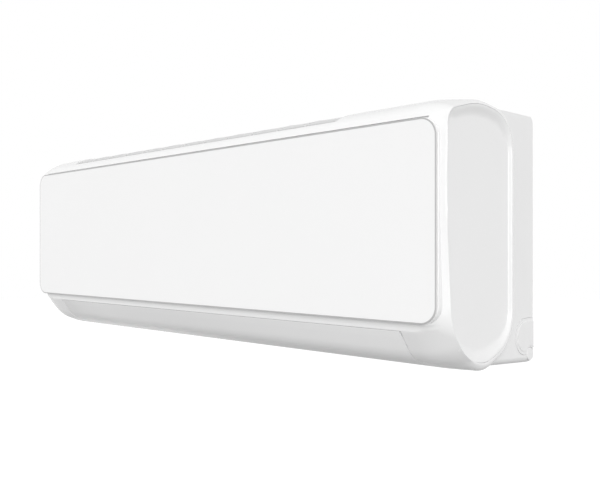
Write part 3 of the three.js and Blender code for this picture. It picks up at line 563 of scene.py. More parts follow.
@dataclass(frozen=True)
class Finish:
    """A surface finish made of nodes.

    Attributes:
        name: The material's name.
        slot: The record's material slot it belongs to; not used.
        colour: Linear base colour.
        tone: How far the colour drifts over the surface.
        roughness: Middle roughness.
        roughness_drift: How far handling marks raise it.
        metallic: Metallic value.
        coat: Clear coat weight.
        grain: Depth of the fine grain in millimetres.
        grain_size: Noise scale of the grain.
        stretch: How the grain is drawn out along x, depth and z.
    """

    name: str
    slot: str
    colour: tuple[float, float, float]
    tone: float = 0.02
    roughness: float = 0.35
    roughness_drift: float = 0.08
    metallic: float = 0.0
    coat: float = 0.0
    grain: float = 0.01
    grain_size: float = 900.0
    stretch: Place = (1.0, 1.0, 1.0)
    TONE_SIZE: ClassVar[float] = 7.0
    MARKS_SIZE: ClassVar[float] = 22.0
    BUMP: ClassVar[float] = 0.35
    COAT_ROUGHNESS: ClassVar[float] = 0.03

    def material(self) -> bpy.types.Material:
        """Builds the material once and gives it back."""
        if self.name in bpy.data.materials:
            return bpy.data.materials[self.name]
        made = bpy.data.materials.new(self.name)
        made.use_nodes = True
        tree = made.node_tree
        shader = tree.nodes["Principled BSDF"]
        group = tree.nodes.new("ShaderNodeGroup")
        group.node_tree = surface_group()
        for label, value in (("Tone size", self.TONE_SIZE), ("Marks size", self.MARKS_SIZE),
                             ("Grain size", self.grain_size), ("Stretch", self.stretch)):
            group.inputs[label].default_value = value
        colour = tree.nodes.new("ShaderNodeMix")
        colour.data_type = "RGBA"
        colour.inputs["A"].default_value = (*self.colour, 1.0)
        colour.inputs["B"].default_value = (*(c * (1 - self.tone) for c in self.colour), 1.0)
        rough = add(tree, "MapRange", to_min=self.roughness, to_max=self.roughness + self.roughness_drift)
        bump = add(tree, "Bump", strength=self.BUMP, distance=self.grain * MM)
        for label, value in (("Metallic", self.metallic), ("Coat Weight", self.coat),
                             ("Coat Roughness", self.COAT_ROUGHNESS)):
            shader.inputs[label].default_value = value
        wire(tree, (group.outputs["Tone"], colour.inputs["Factor"]),
             (colour.outputs["Result"], shader.inputs["Base Color"]),
             (group.outputs["Marks"], rough.inputs["Value"]),
             (rough.outputs["Result"], shader.inputs["Roughness"]),
             (group.outputs["Grain"], bump.inputs["Height"]),
             (bump.outputs["Normal"], shader.inputs["Normal"]))
        self.extend(made)
        return made

    def extend(self, made: bpy.types.Material) -> None:
        """Leaves room for a finish of its own kind to add to the material."""


@dataclass(frozen=True)
class Net(Finish):
    """A woven net that lets light through between its threads."""

    pitch: float = 1.1
    thread: float = 0.36

    def extend(self, made: bpy.types.Material) -> None:
        """Opens the gaps between the threads through Alpha.

        Args:
            made: The material so far.
        """
        tree = made.node_tree
        where = add(tree, "UVMap")
        where.uv_map = "UVMap"
        split = add(tree, "SeparateXYZ")
        either = add(tree, "Math", "MAXIMUM")
        wire(tree, (where.outputs["UV"], split.inputs["Vector"]),
             (either.outputs[0], tree.nodes["Principled BSDF"].inputs["Alpha"]))
        for i, axis in enumerate("XY"):
            grid, share, edge = (add(tree, "Math", kind) for kind in ("DIVIDE", "FRACT", "LESS_THAN"))
            grid.inputs[1].default_value = self.pitch
            edge.inputs[1].default_value = self.thread / self.pitch
            wire(tree, (split.outputs[axis], grid.inputs[0]), (grid.outputs[0], share.inputs[0]),
                 (share.outputs[0], edge.inputs[0]), (edge.outputs[0], either.inputs[i]))


class Finishes:
    """Every finish on the unit."""

    CASING = Finish("Casing gloss white", "casing_gloss", (0.905, 0.905, 0.905), 0.012, 0.24, 0.05, coat=0.25,
                    grain=0.004, grain_size=420.0)
    PANEL = Finish("Panel mirror white", "panel_gloss", (0.915, 0.915, 0.915), 0.008, 0.10, 0.03, coat=0.8,
                   grain=0.0015, grain_size=90.0)
    CARRIER = Finish("Panel carrier white", "panel_gloss", (0.825, 0.825, 0.825), 0.02, 0.4, 0.08, grain=0.01,
                     grain_size=1200.0)
    BORDER = Finish("Panel border grey", "panel_gloss", (0.505, 0.505, 0.505), 0.02, 0.35, 0.08, grain=0.004,
                    grain_size=600.0)
    # The end caps are the casing's white plastic with their colour darkened: painted shade on the unit's
    # side-facing ends.
    SHADED_CAP = Finish("End cap satin white", "casing_gloss", (0.87, 0.87, 0.87), 0.012, 0.3, 0.06, coat=0.15,
                 grain=0.004, grain_size=420.0)
    # The chassis is a satin white with its colour darkened below the casing's: painted shade on its
    # side-facing ends.
    SHADED_CHASSIS = Finish("Chassis satin white", "chassis_satin", (0.86, 0.86, 0.86), 0.02, 0.36, 0.08,
                     grain=0.012, grain_size=1500.0)
    INNER = Finish("Inner matt plastic", "inner_plastic", (0.60, 0.61, 0.62), 0.05, 0.55, 0.12,
                   grain=0.02, grain_size=1800.0)
    GRILLE = Finish("Grille satin plastic", "grille_plastic", (0.72, 0.72, 0.72), 0.03, 0.42, 0.08,
                    grain=0.01, grain_size=1500.0)
    FILTER = Finish("Filter frame", "filter_mesh", (0.18, 0.19, 0.21), 0.08, 0.5, 0.1, grain=0.02,
                    grain_size=2000.0)
    NET = Net("Filter net", "filter_mesh", (0.10, 0.11, 0.12), 0.1, 0.6, 0.1, grain=0.0, grain_size=800.0)
    FINS = Finish("Coil fins", "coil_fins", (0.72, 0.75, 0.78), 0.1, 0.32, 0.15, metallic=0.85, grain=0.02,
                  grain_size=700.0, stretch=(8.0, 1.0, 1.0))
    FAN = Finish("Fan dark plastic", "fan_plastic", (0.022, 0.023, 0.025), 0.2, 0.42, 0.15, grain=0.02,
                 grain_size=1600.0)
    RUBBER = Finish("Bush rubber", "bush_rubber", (0.018, 0.018, 0.018), 0.2, 0.75, 0.1, grain=0.03,
                    grain_size=1800.0)
    MOTOR = Finish("Motor dark paint", "motor_shell", (0.045, 0.047, 0.05), 0.15, 0.4, 0.15, metallic=0.2,
                   grain=0.01, grain_size=1400.0)
    STEEL = Finish("Zinc plated sheet", "zinc_steel", (0.62, 0.64, 0.66), 0.14, 0.34, 0.22, metallic=0.9,
                   grain=0.008, grain_size=260.0, stretch=(0.25, 1.0, 4.0))
    COPPER = Finish("Copper tube", "copper_tube", (0.68, 0.33, 0.18), 0.25, 0.28, 0.25, metallic=1.0,
                    grain=0.006, grain_size=500.0, stretch=(0.2, 3.0, 3.0))
    BRASS = Finish("Machined brass", "brass_nut", (0.66, 0.50, 0.22), 0.12, 0.24, 0.15, metallic=1.0,
                   grain=0.01, grain_size=900.0, stretch=(6.0, 1.0, 1.0))
    BOARD = Finish("Circuit board", "circuit_board", (0.02, 0.10, 0.045), 0.3, 0.4, 0.2, grain=0.03,
                   grain_size=500.0)
    TERMINAL = Finish("Terminal plastic", "terminal_plastic", (0.02, 0.02, 0.022), 0.1, 0.4, 0.1, grain=0.015,
                      grain_size=1500.0)
    LENS = Finish("Display lens", "display_lens", (0.33, 0.35, 0.38), 0.04, 0.12, 0.05, coat=0.6, grain=0.003,
                  grain_size=300.0)


def dress(piece: Piece, finish: Finish) -> Piece:
    """Gives a whole piece one finish."""
    piece.data.materials.clear()
    piece.data.materials.append(finish.material())
    return piece


def deliver(piece: Piece, name: str, finish: Finish, body: str, *nodes: str) -> Piece:
    """Names, dresses and mounts a finished piece.

    Args:
        piece: The finished mesh.
        name: Its name.
        finish: Its finish.
        body: The moving body it rides on.
        nodes: The CAD nodes it stands for.

    Returns:
        The piece.
    """
    piece.name = name
    piece.data.name = name
    dress(piece, finish)
    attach(piece, body)
    if nodes:
        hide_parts(*nodes)
    LOG.info("%s: %d faces", name, len(piece.data.polygons))
    return piece


# ------------------------------------------------------------------ the unit's shared form


@dataclass(frozen=True)
class Form:
    """Sizes and sections that neighbouring pieces share."""

    panel_half: float = 433.0
    panel_top: float = 123.7
    panel_bottom: float = -93.3
    panel_radius: float = 20.0
    end_x: float = 441.0
    end_rounding: float = 8.5
    end_taper: float = 45.0
    taper_power: float = 1.8
    taper_front: float = 35.0
    taper_back: float = 92.0
    neck_front: float = 3.5
    neck_gap: float = 0.6
    cove_reach: float = 9.5
    cove_depth: float = 6.0
    cove_side_depth: float = 5.2
    side_power: float = 1.05
    corner_depth: float = 3.8
    edge_radius: float = 0.8
    louver_pivot: Point2 = (72.0, -137.0)
    panel_hinge: Point2 = (6.5, 121.2)
    fan_axis: Point2 = (118.0, -50.0)
    hook_places: Point2 = (-180.0, 180.0)
    middle: tuple[Corner, ...] = (
        (1, 47.3, 590), (2, 137.9, 40), (58.5, 154.5, 96), (157.2, 143.3, 53), (157.2, -126.5, 59),
        (82.5, -154.2, 67), (33.3, -136.2, 46), (2, -92.7, 3))
    end: tuple[Corner, ...] = (
        (5.9, 47.3, 590), (9.3, 131.3, 21.6), (75, 149.5, 140), (148.8, 137, 45), (148.8, -120.6, 51),
        (82.5, -144.6, 59), (42.8, -128.8, 64), (16.8, -96.6, 64))
    steps: tuple[int, ...] = (6, 30, 12, 24, 24, 14, 16, 8)

    def middle_outline(self) -> np.ndarray:
        """Gives the casing's section between its rounded ends."""
        return np.array(rounded(self.middle, steps=self.steps))

    def end_outline(self) -> np.ndarray:
        """Gives the casing's outline in its end plane, matched to the middle one point by point."""
        return np.array(rounded(self.end, steps=self.steps))

    def outline_at(self, x: float) -> np.ndarray:
        """Gives the section at a distance along the unit: the middle one, drawn in towards the ends.

        Args:
            x: The distance along the unit.

        Returns:
            The section's points as (depth, z).
        """
        middle = self.middle_outline()
        taper = min(1.0, max(0.0, (abs(x) - self.end_x + self.end_taper) / self.end_taper))
        rounding = min(1.0, max(0.0, (abs(x) - self.end_x + self.end_rounding) / self.end_rounding))
        rear = np.clip((middle[:, 0] - self.taper_front) / (self.taper_back - self.taper_front), 0, 1)
        rear = rear * rear * (3 - 2 * rear)
        share = (1 - taper ** self.taper_power) * (1 - rear) + math.sqrt(1 - rounding ** 2) * rear
        return self.end_outline() * (1 - share[:, None]) + middle * share[:, None]

    def front_line(self, x: float) -> np.ndarray:
        """Gives the front of the section as (depth, z) from the lower front up to the top front."""
        outline = self.outline_at(x)
        upper_end, lower_start = self.front_range()
        return np.vstack((outline[lower_start:], outline[: upper_end + 1]))

    def front_range(self) -> tuple[int, int]:
        """Gives the outline's points at which the front ends at the top and starts at the bottom."""
        upper_end = self.steps[0] + 1 + int(self.steps[1] * 0.62)
        lower_start = sum(self.steps[:6]) + 6 + int(self.steps[6] * 0.45)
        return upper_end, lower_start

    def cove(self, x: float, z: float) -> tuple[float, float]:
        """Gives the cove round the panel.

        Args:
            x: The place along the unit.
            z: Its height.

        Returns:
            How far the place lies outside the panel's edge, and the cove's depth there.
        """
        inner_x = self.panel_half - self.panel_radius
        top, bottom = self.panel_top - self.panel_radius, self.panel_bottom + self.panel_radius
        dx = max(0.0, abs(x) - inner_x)
        dz = max(0.0, z - top, bottom - z)
        reach = math.hypot(dx, dz)
        sideways = min(1.0, dx / reach) if reach > 0 else 0.0
        outside = reach - self.panel_radius
        depth = self.cove_depth + (self.cove_side_depth - self.cove_depth) * sideways ** 2
        share = min(1.0, max(0.0, (self.neck_gap + self.cove_reach - outside) / self.cove_reach))
        hollow = math.sqrt(1 - share ** 2)
        slope = (1 - share) ** self.side_power
        straight = sideways ** 3
        rise = depth * (hollow * (1 - straight) + slope * straight)
        if z < 0 and reach > 0:
            rise += self.corner_depth * 2 * dx * dz / reach ** 2 * hollow
        return outside, self.neck_front + rise


FORM = Form()


def soft_max(a: float, b: float, blend: float) -> float:
    """Gives the larger of two heights, with their crossing rounded over the width blend."""
    gap = max(blend - abs(a - b), 0.0) / blend
    return max(a, b) + gap * gap * blend / 4


# ------------------------------------------------------------------ front casing


@dataclass
class FrontCasing:
    """The glossy shell round the panel: concave neck, rolled top, lower front and rounded ends."""

    corner_steps: int = 26
    upper_steps: int = 26
    lower_steps: int = 14
    crease_steps: int = 5
    pocket_inset: float = 6.5
    pocket_floor: float = 11.0
    wall: float = 2.8
    wall_back: float = 13.5
    outlet_left: float = -368.6
    outlet_right: float = 381.2
    taper_places: tuple[float, ...] = (410.0, 406.0, 402.0, 397.0, 391.0)
    side_places: tuple[float, ...] = (90.0, 75.0, 60.0, 45.0, 30.0, 15.0, 0.0, -15.0, -30.0, -45.0, -60.0)
    band_reach: float = 8.0
    band_steps: int = 18
    upper_blend: float = 3.0
    lower_blend: float = 0.8
    cheek_wall: float = 3.0
    lug_place: float = 404.0

    def loop(self, outside: float) -> list[Point2]:
        """Gives a line round the panel.

        Args:
            outside: The line's distance outside the panel's edge.

        Returns:
            Its places as (x, z), with the same number on every line.
        """
        form = FORM
        radius = form.panel_radius + outside
        places = []
        centres = ((1, 1), (-1, 1), (-1, -1), (1, -1))
        for corner, (sx, sz) in enumerate(centres):
            cx = sx * (form.panel_half - form.panel_radius)
            cz = form.panel_top - form.panel_radius if sz > 0 else form.panel_bottom + form.panel_radius
            for k in range(self.corner_steps + 1):
                angle = math.pi / 2 * (corner + k / self.corner_steps)
                places.append((cx + radius * math.cos(angle), cz + radius * math.sin(angle)))
            if corner in (0, 2):
                along = [-x for x in self.taper_places[::-1]]
                for x in [*self.taper_places, *along]:
                    places.append((x * sx, cz + sz * radius))
            else:
                for z in self.side_places[:: -sx]:
                    places.append((cx + sx * radius, z))
        return places

    def band(self) -> list[list[Vector]]:
        """Gives the rings from the pocket's floor over the neck and through the cove to the outer loop."""
        form = FORM
        inner = -self.pocket_inset
        rings = []
        profile = [(inner, self.pocket_floor), (inner, 4.6), (inner + 0.35, 3.85),
                   (inner + 1.1, form.neck_front), (-0.3, form.neck_front), (0.25, form.neck_front + 0.15),
                   (form.neck_gap - 0.05, 3.9)]
        for outside, depth in profile:
            rings.append([place(x, depth, z) for x, z in self.loop(outside)])
        lines: dict[float, np.ndarray] = {}

        def outer_at(x: float, z: float) -> float:
            """Gives the outer form's front depth at a place."""
            key = round(abs(x), 3)
            if key not in lines:
                lines[key] = form.front_line(key)
            return float(np.interp(z, lines[key][:, 1], lines[key][:, 0]))

        for k in range(1, self.band_steps + 1):
            share = k / self.band_steps
            outside = form.neck_gap + (self.band_reach - form.neck_gap) * share ** 1.5
            rings.append([place(x, self.front(x, z, outer_at(x, z)), z) for x, z in self.loop(outside)])
        return rings

    def front(self, x: float, z: float, outer: float) -> float:
        """Gives the depth of the front surface, where the cove and the outer form meet.

        Args:
            x: The place along the unit.
            z: Its height.
            outer: The outer form's depth there.

        Returns:
            The surface's depth.
        """
        form = FORM
        cove = form.cove(x, z)[1]
        past = max(0.0, abs(x) - (form.end_x - form.edge_radius)) / form.edge_radius
        roll = form.edge_radius * (1 - math.sqrt(max(0.0, 1 - min(1.0, past) ** 2)))
        share = min(1.0, max(0.0, (cove - outer + 1.0) / 2.0))
        return soft_max(cove, outer, self.upper_blend if z > 0 else self.lower_blend) + roll * share

    def crossing(self, x: float, start: float, stop: float, depth_at: Callable[[float], float]) -> float:
        """Finds where the outer form passes behind the cove.

        Args:
            x: The place along the unit.
            start: The height to look from.
            stop: The height to look to.
            depth_at: The outer form's depth at a height.

        Returns:
            The last height before it passes.
        """
        last = start
        for z in np.linspace(start, stop, 60):
            if depth_at(z) >= FORM.cove(x, z)[1]:
                return float(last)
            last = z
        return float(stop)

    def wrap(self, x: float, z_top: float, z_bottom: float) -> list[Vector]:
        """Gives one section of the outer form, from the upper line over the top and back to the lower line.

        Args:
            x: The section's place along the unit.
            z_top: Height of the upper line there.
            z_bottom: Height of the lower line there.

        Returns:
            The section's places.
        """
        outline = FORM.outline_at(x)
        upper_end, lower_start = FORM.front_range()
        front_line = FORM.front_line(x)
        points = []
        z_a = outline[upper_end][1]

        def outer_at(z: float) -> float:
            """Gives the outer form's depth at a height of the front."""
            return float(np.interp(z, front_line[:, 1], front_line[:, 0]))

        def climb(start: float, stop: float, steps: int, first: int) -> None:
            """Adds places on the front surface between two heights."""
            for k in range(first, steps + first):
                z = start + (stop - start) * k / steps
                points.append(place(x, self.front(x, z, outer_at(z)), z))

        climb(z_top, z_a, self.upper_steps, 0)
        points += [place(x, u, v) for u, v in outline[upper_end: lower_start + 1]]
        z_b = outline[lower_start][1]
        crease = min(self.crossing(x, z_bottom, z_b, outer_at), z_bottom - 0.4)
        climb(z_b, crease, self.lower_steps, 1)
        climb(crease, z_bottom, self.crease_steps, 1)
        return points

    def outer_solid(self) -> Piece:
        """Builds the outer form as one closed mesh."""
        mesh = bmesh.new()
        band = bridge(mesh, self.band())
        mesh.faces.new(band[0])
        outer_loop = self.loop(self.band_reach)
        side = len(self.side_places)
        half = len(outer_loop) // 2 - side
        sections = []
        for step in range(half):
            x, z_top = outer_loop[step]
            z_bottom = outer_loop[2 * half + side - 1 - step][1]
            sections.append([mesh.verts.new(p) for p in self.wrap(x, z_top, z_bottom)])
        for a, b in zip(sections, sections[1:]):
            for i in range(len(a) - 1):
                mesh.faces.new((a[i], b[i], b[i + 1], a[i + 1]))
        right_side = [mesh.verts.new(v.co) for v in band[-1][2 * half + side:]]
        left_side = [mesh.verts.new(v.co) for v in band[-1][half: half + side]]
        mesh.faces.new(sections[0] + right_side)
        mesh.faces.new(sections[-1] + left_side[::-1])
        bmesh.ops.remove_doubles(mesh, verts=mesh.verts, dist=2e-6)
        return as_piece("front_casing_shell", mesh)

    def cavity(self) -> Piece:
        """Gives the space inside the shell, one wall in from its outer form."""
        ends = (430.0, 420.0)
        places = [-x for x in (*ends, *self.taper_places)] + [*self.taper_places[::-1], *ends[::-1]]
        rings = []
        for x in places:
            ring = inset([tuple(p) for p in FORM.outline_at(x)], self.wall)
            rings.append([place(x, max(u, self.wall_back), v) for u, v in ring])
        return skin_over("cavity", rings)

    def cutters(self) -> list[Piece]:
        """Gives the solids that hollow the shell and open it."""
        opening = [(max(u, 9.6), v) for u, v in inset(FORM.end_outline(), 0.9)]
        rear = [(126.5, 175), (126.5, -60), (97, -100), (97, -175), (240, -175), (240, 175)]
        outlet = [(-5, -103.4), (40, -103.4), (84.5, -120), (84.5, -170), (-5, -170)]
        notch = [(-329, 100), (-329, 137.1), (-337, 165), (292, 165), (284, 137.1), (284, 100)]
        tools = [
            self.cavity(),
            *(section("opening", opening, Run.ACROSS, *span) for span in ((-446, -429), (429, 446))),
            section("rear_cut", rear, Run.ACROSS, -433.4, 433.4),
            section("outlet", outlet, Run.ACROSS, self.outlet_left, self.outlet_right),
            section("notch", notch, Run.INWARD, 14.9, 123),
            slab("hinge_room", (-419, -8, 110.7), (419, 10.6, 126.3)),
        ]
        for x0, x1 in ((-322, -30), (-14, 278)):
            tools.append(section("window", box_outline(x0, x1, -60, 108, 6), Run.INWARD, 8, 20))
        tools.append(bar("button_hole", 4.3, (370, 8, -60), (370, 20, -60)))
        return tools

    def build(self) -> None:
        """Builds and mounts the casing."""
        shell = combine(self.outer_solid(), "DIFFERENCE", self.cutters())
        cheek = [(22, -104), (60, -104), (90, -120), (90, -148.2), (72, -147.8), (48, -139), (24, -117)]
        extras = [shell]
        for x in (self.outlet_left - self.cheek_wall, self.outlet_right):
            plate = section("cheek", cheek, Run.ACROSS, x, x + self.cheek_wall)
            pivot = FORM.louver_pivot
            combine(plate, "DIFFERENCE", [bar("pin_hole", 3.3, (x - 5, *pivot), (x + 8, *pivot))])
            extras.append(soften(plate, 0.3))
        for side in (-1, 1):
            x, (depth, z) = side * self.lug_place, FORM.panel_hinge
            lug = bar("lug", 3.2, (x - 2, depth, z), (x + 2, depth, z))
            combine(lug, "UNION", [slab("lug_root", (x - 2, depth, z - 3.2), (x + 2, 12, z + 3.2))])
            combine(lug, "DIFFERENCE", [bar("pin_hole", 2.3, (x - 5, depth, z), (x + 5, depth, z))])
            extras.append(lug)
        lip = section("lip", [(12.6, -102.4), (14.6, -100.2), (18.6, -105.4), (16.9, -107.0)], Run.ACROSS,
                      self.outlet_left, self.outlet_right)
        extras.append(soften(lip, 0.3))
        piece = smooth(join(extras), 30)
        deliver(piece, "front_casing_shell", Finishes.CASING, "housing", "front_casing")


# ------------------------------------------------------------------ end caps


@dataclass
class EndCap:
    """A dished plate in each end of the casing: a wide slope at the top, a steep wall at the rear."""

    side: int
    edge_inset: float = 1.08
    front_edge: float = 9.9
    dish_floor: float = 4.6
    dish_steps: int = 12
    front_wall: float = 0.9
    top_wall: float = 12.5
    rear_wall: float = 1.3
    bottom_wall: float = 15.0
    back: float = 433.4
    edge_points: int = 240
    rim_width: float = 0.35

    def walls(self, outline: np.ndarray) -> tuple[np.ndarray, np.ndarray]:
        """Gives the dish's wall along the cap's edge.

        Args:
            outline: The cap's edge.

        Returns:
            Each point's inward direction, and the wall's width there.
        """
        along = np.roll(outline, -1, 0) - np.roll(outline, 1, 0)
        along /= np.linalg.norm(along, axis=1)[:, None]
        inward = np.column_stack((along[:, 1], -along[:, 0]))
        if float(np.sum(inward * (outline - outline.mean(axis=0)))) > 0:
            inward = -inward
        down, up = np.clip(-inward[:, 1], 0, 1), np.clip(inward[:, 1], 0, 1)
        forward = np.clip(-inward[:, 0], 0, 1)
        width = self.front_wall + self.top_wall * down ** 1.3 + self.rear_wall * forward
        width = width + self.bottom_wall * up ** 2
        for _ in range(6):
            width = (np.roll(width, 1) + 2 * width + np.roll(width, -1)) / 4
        return inward, width

    def edge(self) -> np.ndarray:
        """Gives the cap's outline on evenly spaced points."""
        points = [(max(u, self.front_edge), v) for u, v in inset([tuple(p) for p in FORM.end_outline()],
                                                               self.edge_inset)]
        line = np.array(points + points[:1])
        lengths = np.concatenate(([0.0], np.cumsum(np.linalg.norm(np.diff(line, axis=0), axis=1))))
        even = np.linspace(0, lengths[-1], self.edge_points + 1)[:-1]
        return np.column_stack((np.interp(even, lengths, line[:, 0]), np.interp(even, lengths, line[:, 1])))

    def build(self) -> None:
        """Builds and mounts one end cap."""
        hand = "right" if self.side > 0 else "left"
        outline = self.edge()
        inward, width = self.walls(outline)
        floor = FORM.end_x - self.dish_floor
        low = np.clip(inward[:, 0], 0, 1)
        rim = FORM.end_x - (self.dish_floor - 0.4) * low * low * (3 - 2 * low)
        places = [[place(self.side * self.back, *p) for p in outline]]
        for reach, under in ((0.0, 0.35), (0.1, 0.12), (self.rim_width, 0.0)):
            line = outline + inward * reach
            places.append([place(self.side * (x - under), *p) for x, p in zip(rim, line)])
        for k in range(1, self.dish_steps + 1):
            share = k / self.dish_steps
            drop = 0.5 - 0.5 * math.cos(math.pi * share ** 0.85)
            line = outline + inward * (self.rim_width + width * share)[:, None]
            places.append([place(self.side * (x + (floor - x) * drop), *p) for x, p in zip(rim, line)])
        for extra in (1.5, 4.0):
            line = outline + inward * (self.rim_width + width + extra)[:, None]
            places.append([place(self.side * floor, *p) for p in line])
        piece = level(smooth(skin_over("cap", places), 40))
        deliver(piece, f"end_cap_{hand}_dished", Finishes.SHADED_CAP, "housing", f"end_cap_{hand}")


# ------------------------------------------------------------------ front panel


@dataclass
class FrontPanel:
    """The flat mirror-smooth front sheet inside a thin grey border, on a white carrier."""

    sheet: float = 0.7
    thickness: float = 3.0
    border: float = 1.5
    step: float = 0.06

    def ring(self, distance: float, depth: float) -> list[Vector]:
        """Gives the panel's outline moved inwards, at a depth."""
        form = FORM
        half = form.panel_half - distance
        outline = box_outline(-half, half, form.panel_bottom + distance, form.panel_top - distance,
                              form.panel_radius - distance, 3.0)
        return [place(u, depth, v) for u, v in outline]

    def build(self) -> None:
        """Builds and mounts the sheet, its border and the carrier."""
        profile = [(self.border + 0.05, self.sheet), (self.border + 0.05, 0.1), (self.border + 0.15, 0.0)]
        sheet = skin_over("sheet", [self.ring(*point) for point in profile])
        deliver(smooth(sheet, 40), "front_panel_sheet", Finishes.PANEL, "panel", "front_panel")
        profile = [(0.0, self.sheet), (0.0, 0.35), (0.12, 0.16), (0.35, self.step),
                   (self.border - 0.05, self.step), (self.border, self.sheet)]
        border = ring_over("border", [self.ring(*point) for point in profile])
        deliver(smooth(border, 40), "front_panel_border", Finishes.BORDER, "panel", "front_panel")
        profile = [(0.1, self.sheet + 0.02), (0.1, self.thickness - 0.15), (0.3, self.thickness)]
        carrier = skin_over("carrier", [self.ring(*point) for point in profile])
        deliver(smooth(carrier, 40), "front_panel_carrier", Finishes.CARRIER, "panel", "front_panel")


# ------------------------------------------------------------------ louver


@dataclass
class Louver:
    """The curved strip that closes the air outlet, with its end ribs and pivot pins."""

    left: float = -367.6
    right: float = 380.0
    wall: float = 3.0
    rear: float = 80.0
    top: float = -103.65
    corner_height: float = 9.0
    corner_width: float = 1.3

    def line(self, depth: float) -> np.ndarray:
        """Gives the strip's line at a depth under its outer face, from the front edge to the rear one."""
        outline = FORM.middle_outline()
        inner = np.array(inset([tuple(p) for p in outline], depth))
        near = (outline[:, 1] < self.top + 14) & (outline[:, 0] < self.rear + 12)
        return self.clip(inner[near][::-1])

    def rib(self, x: float, thick: float, height: float, first: int, last: int) -> Piece:
        """Gives a rib that stands on the strip's inner face.

        Args:
            x: The rib's middle.
            thick: Its thickness.
            height: How far it stands up.
            first: The point of the strip's line where it starts.
            last: The point where it ends.

        Returns:
            The rib.
        """
        foot, crest = self.line(self.wall - 0.4)[first:last], self.line(self.wall + height)[first:last]
        crest = crest[1:-1]
        outline = [tuple(p) for p in foot] + [tuple(p) for p in crest[::-1]]
        return soften(section("rib", outline, Run.ACROSS, x - thick / 2, x + thick / 2), 0.25, 1, 50)

    def clip(self, line: np.ndarray) -> np.ndarray:
        """Cuts a line to the strip's top and rear edges, on evenly spaced points."""
        lengths = np.concatenate(([0.0], np.cumsum(np.linalg.norm(np.diff(line, axis=0), axis=1))))
        fine = np.linspace(0, lengths[-1], 400)
        points = np.column_stack((np.interp(fine, lengths, line[:, 0]), np.interp(fine, lengths, line[:, 1])))
        kept = points[(points[:, 1] <= self.top) & (points[:, 0] <= self.rear)]
        return kept[np.linspace(0, len(kept) - 1, 30).astype(int)]

    def build(self) -> None:
        """Builds and mounts the louver."""
        outline = [tuple(p) for p in self.line(0.0)] + [tuple(p) for p in self.line(self.wall)[::-1]]
        strip = section("louver", outline, Run.ACROSS, self.left, self.right)
        for end, side in ((self.left, -1), (self.right, 1)):
            inner = end - side * self.corner_width
            corner = [(end + side, self.top + 5), (inner, self.top + 5), (inner, self.top - 2),
                      (end, self.top - self.corner_height), (end + side, self.top - self.corner_height)]
            combine(strip, "DIFFERENCE", [section("corner", corner, Run.INWARD, -5, 40)])
        parts = [soften(strip, 0.3, 2, 50)]
        for x in (self.left + 1.5, self.right - 1.5):
            parts.append(self.rib(x, 3.0, 9.0, 6, 30))
        for x in (-250, -125, 0, 125, 250):
            parts.append(self.rib(x, 1.6, 5.0, 3, 29))
        pivot = FORM.louver_pivot
        parts.append(bar("pin", 3.0, (self.left - 5, *pivot), (self.left + 1, *pivot)))
        deliver(smooth(join(parts), 35), "louver_strip", Finishes.CASING, "air_louver", "louver")


# ------------------------------------------------------------------ rear chassis


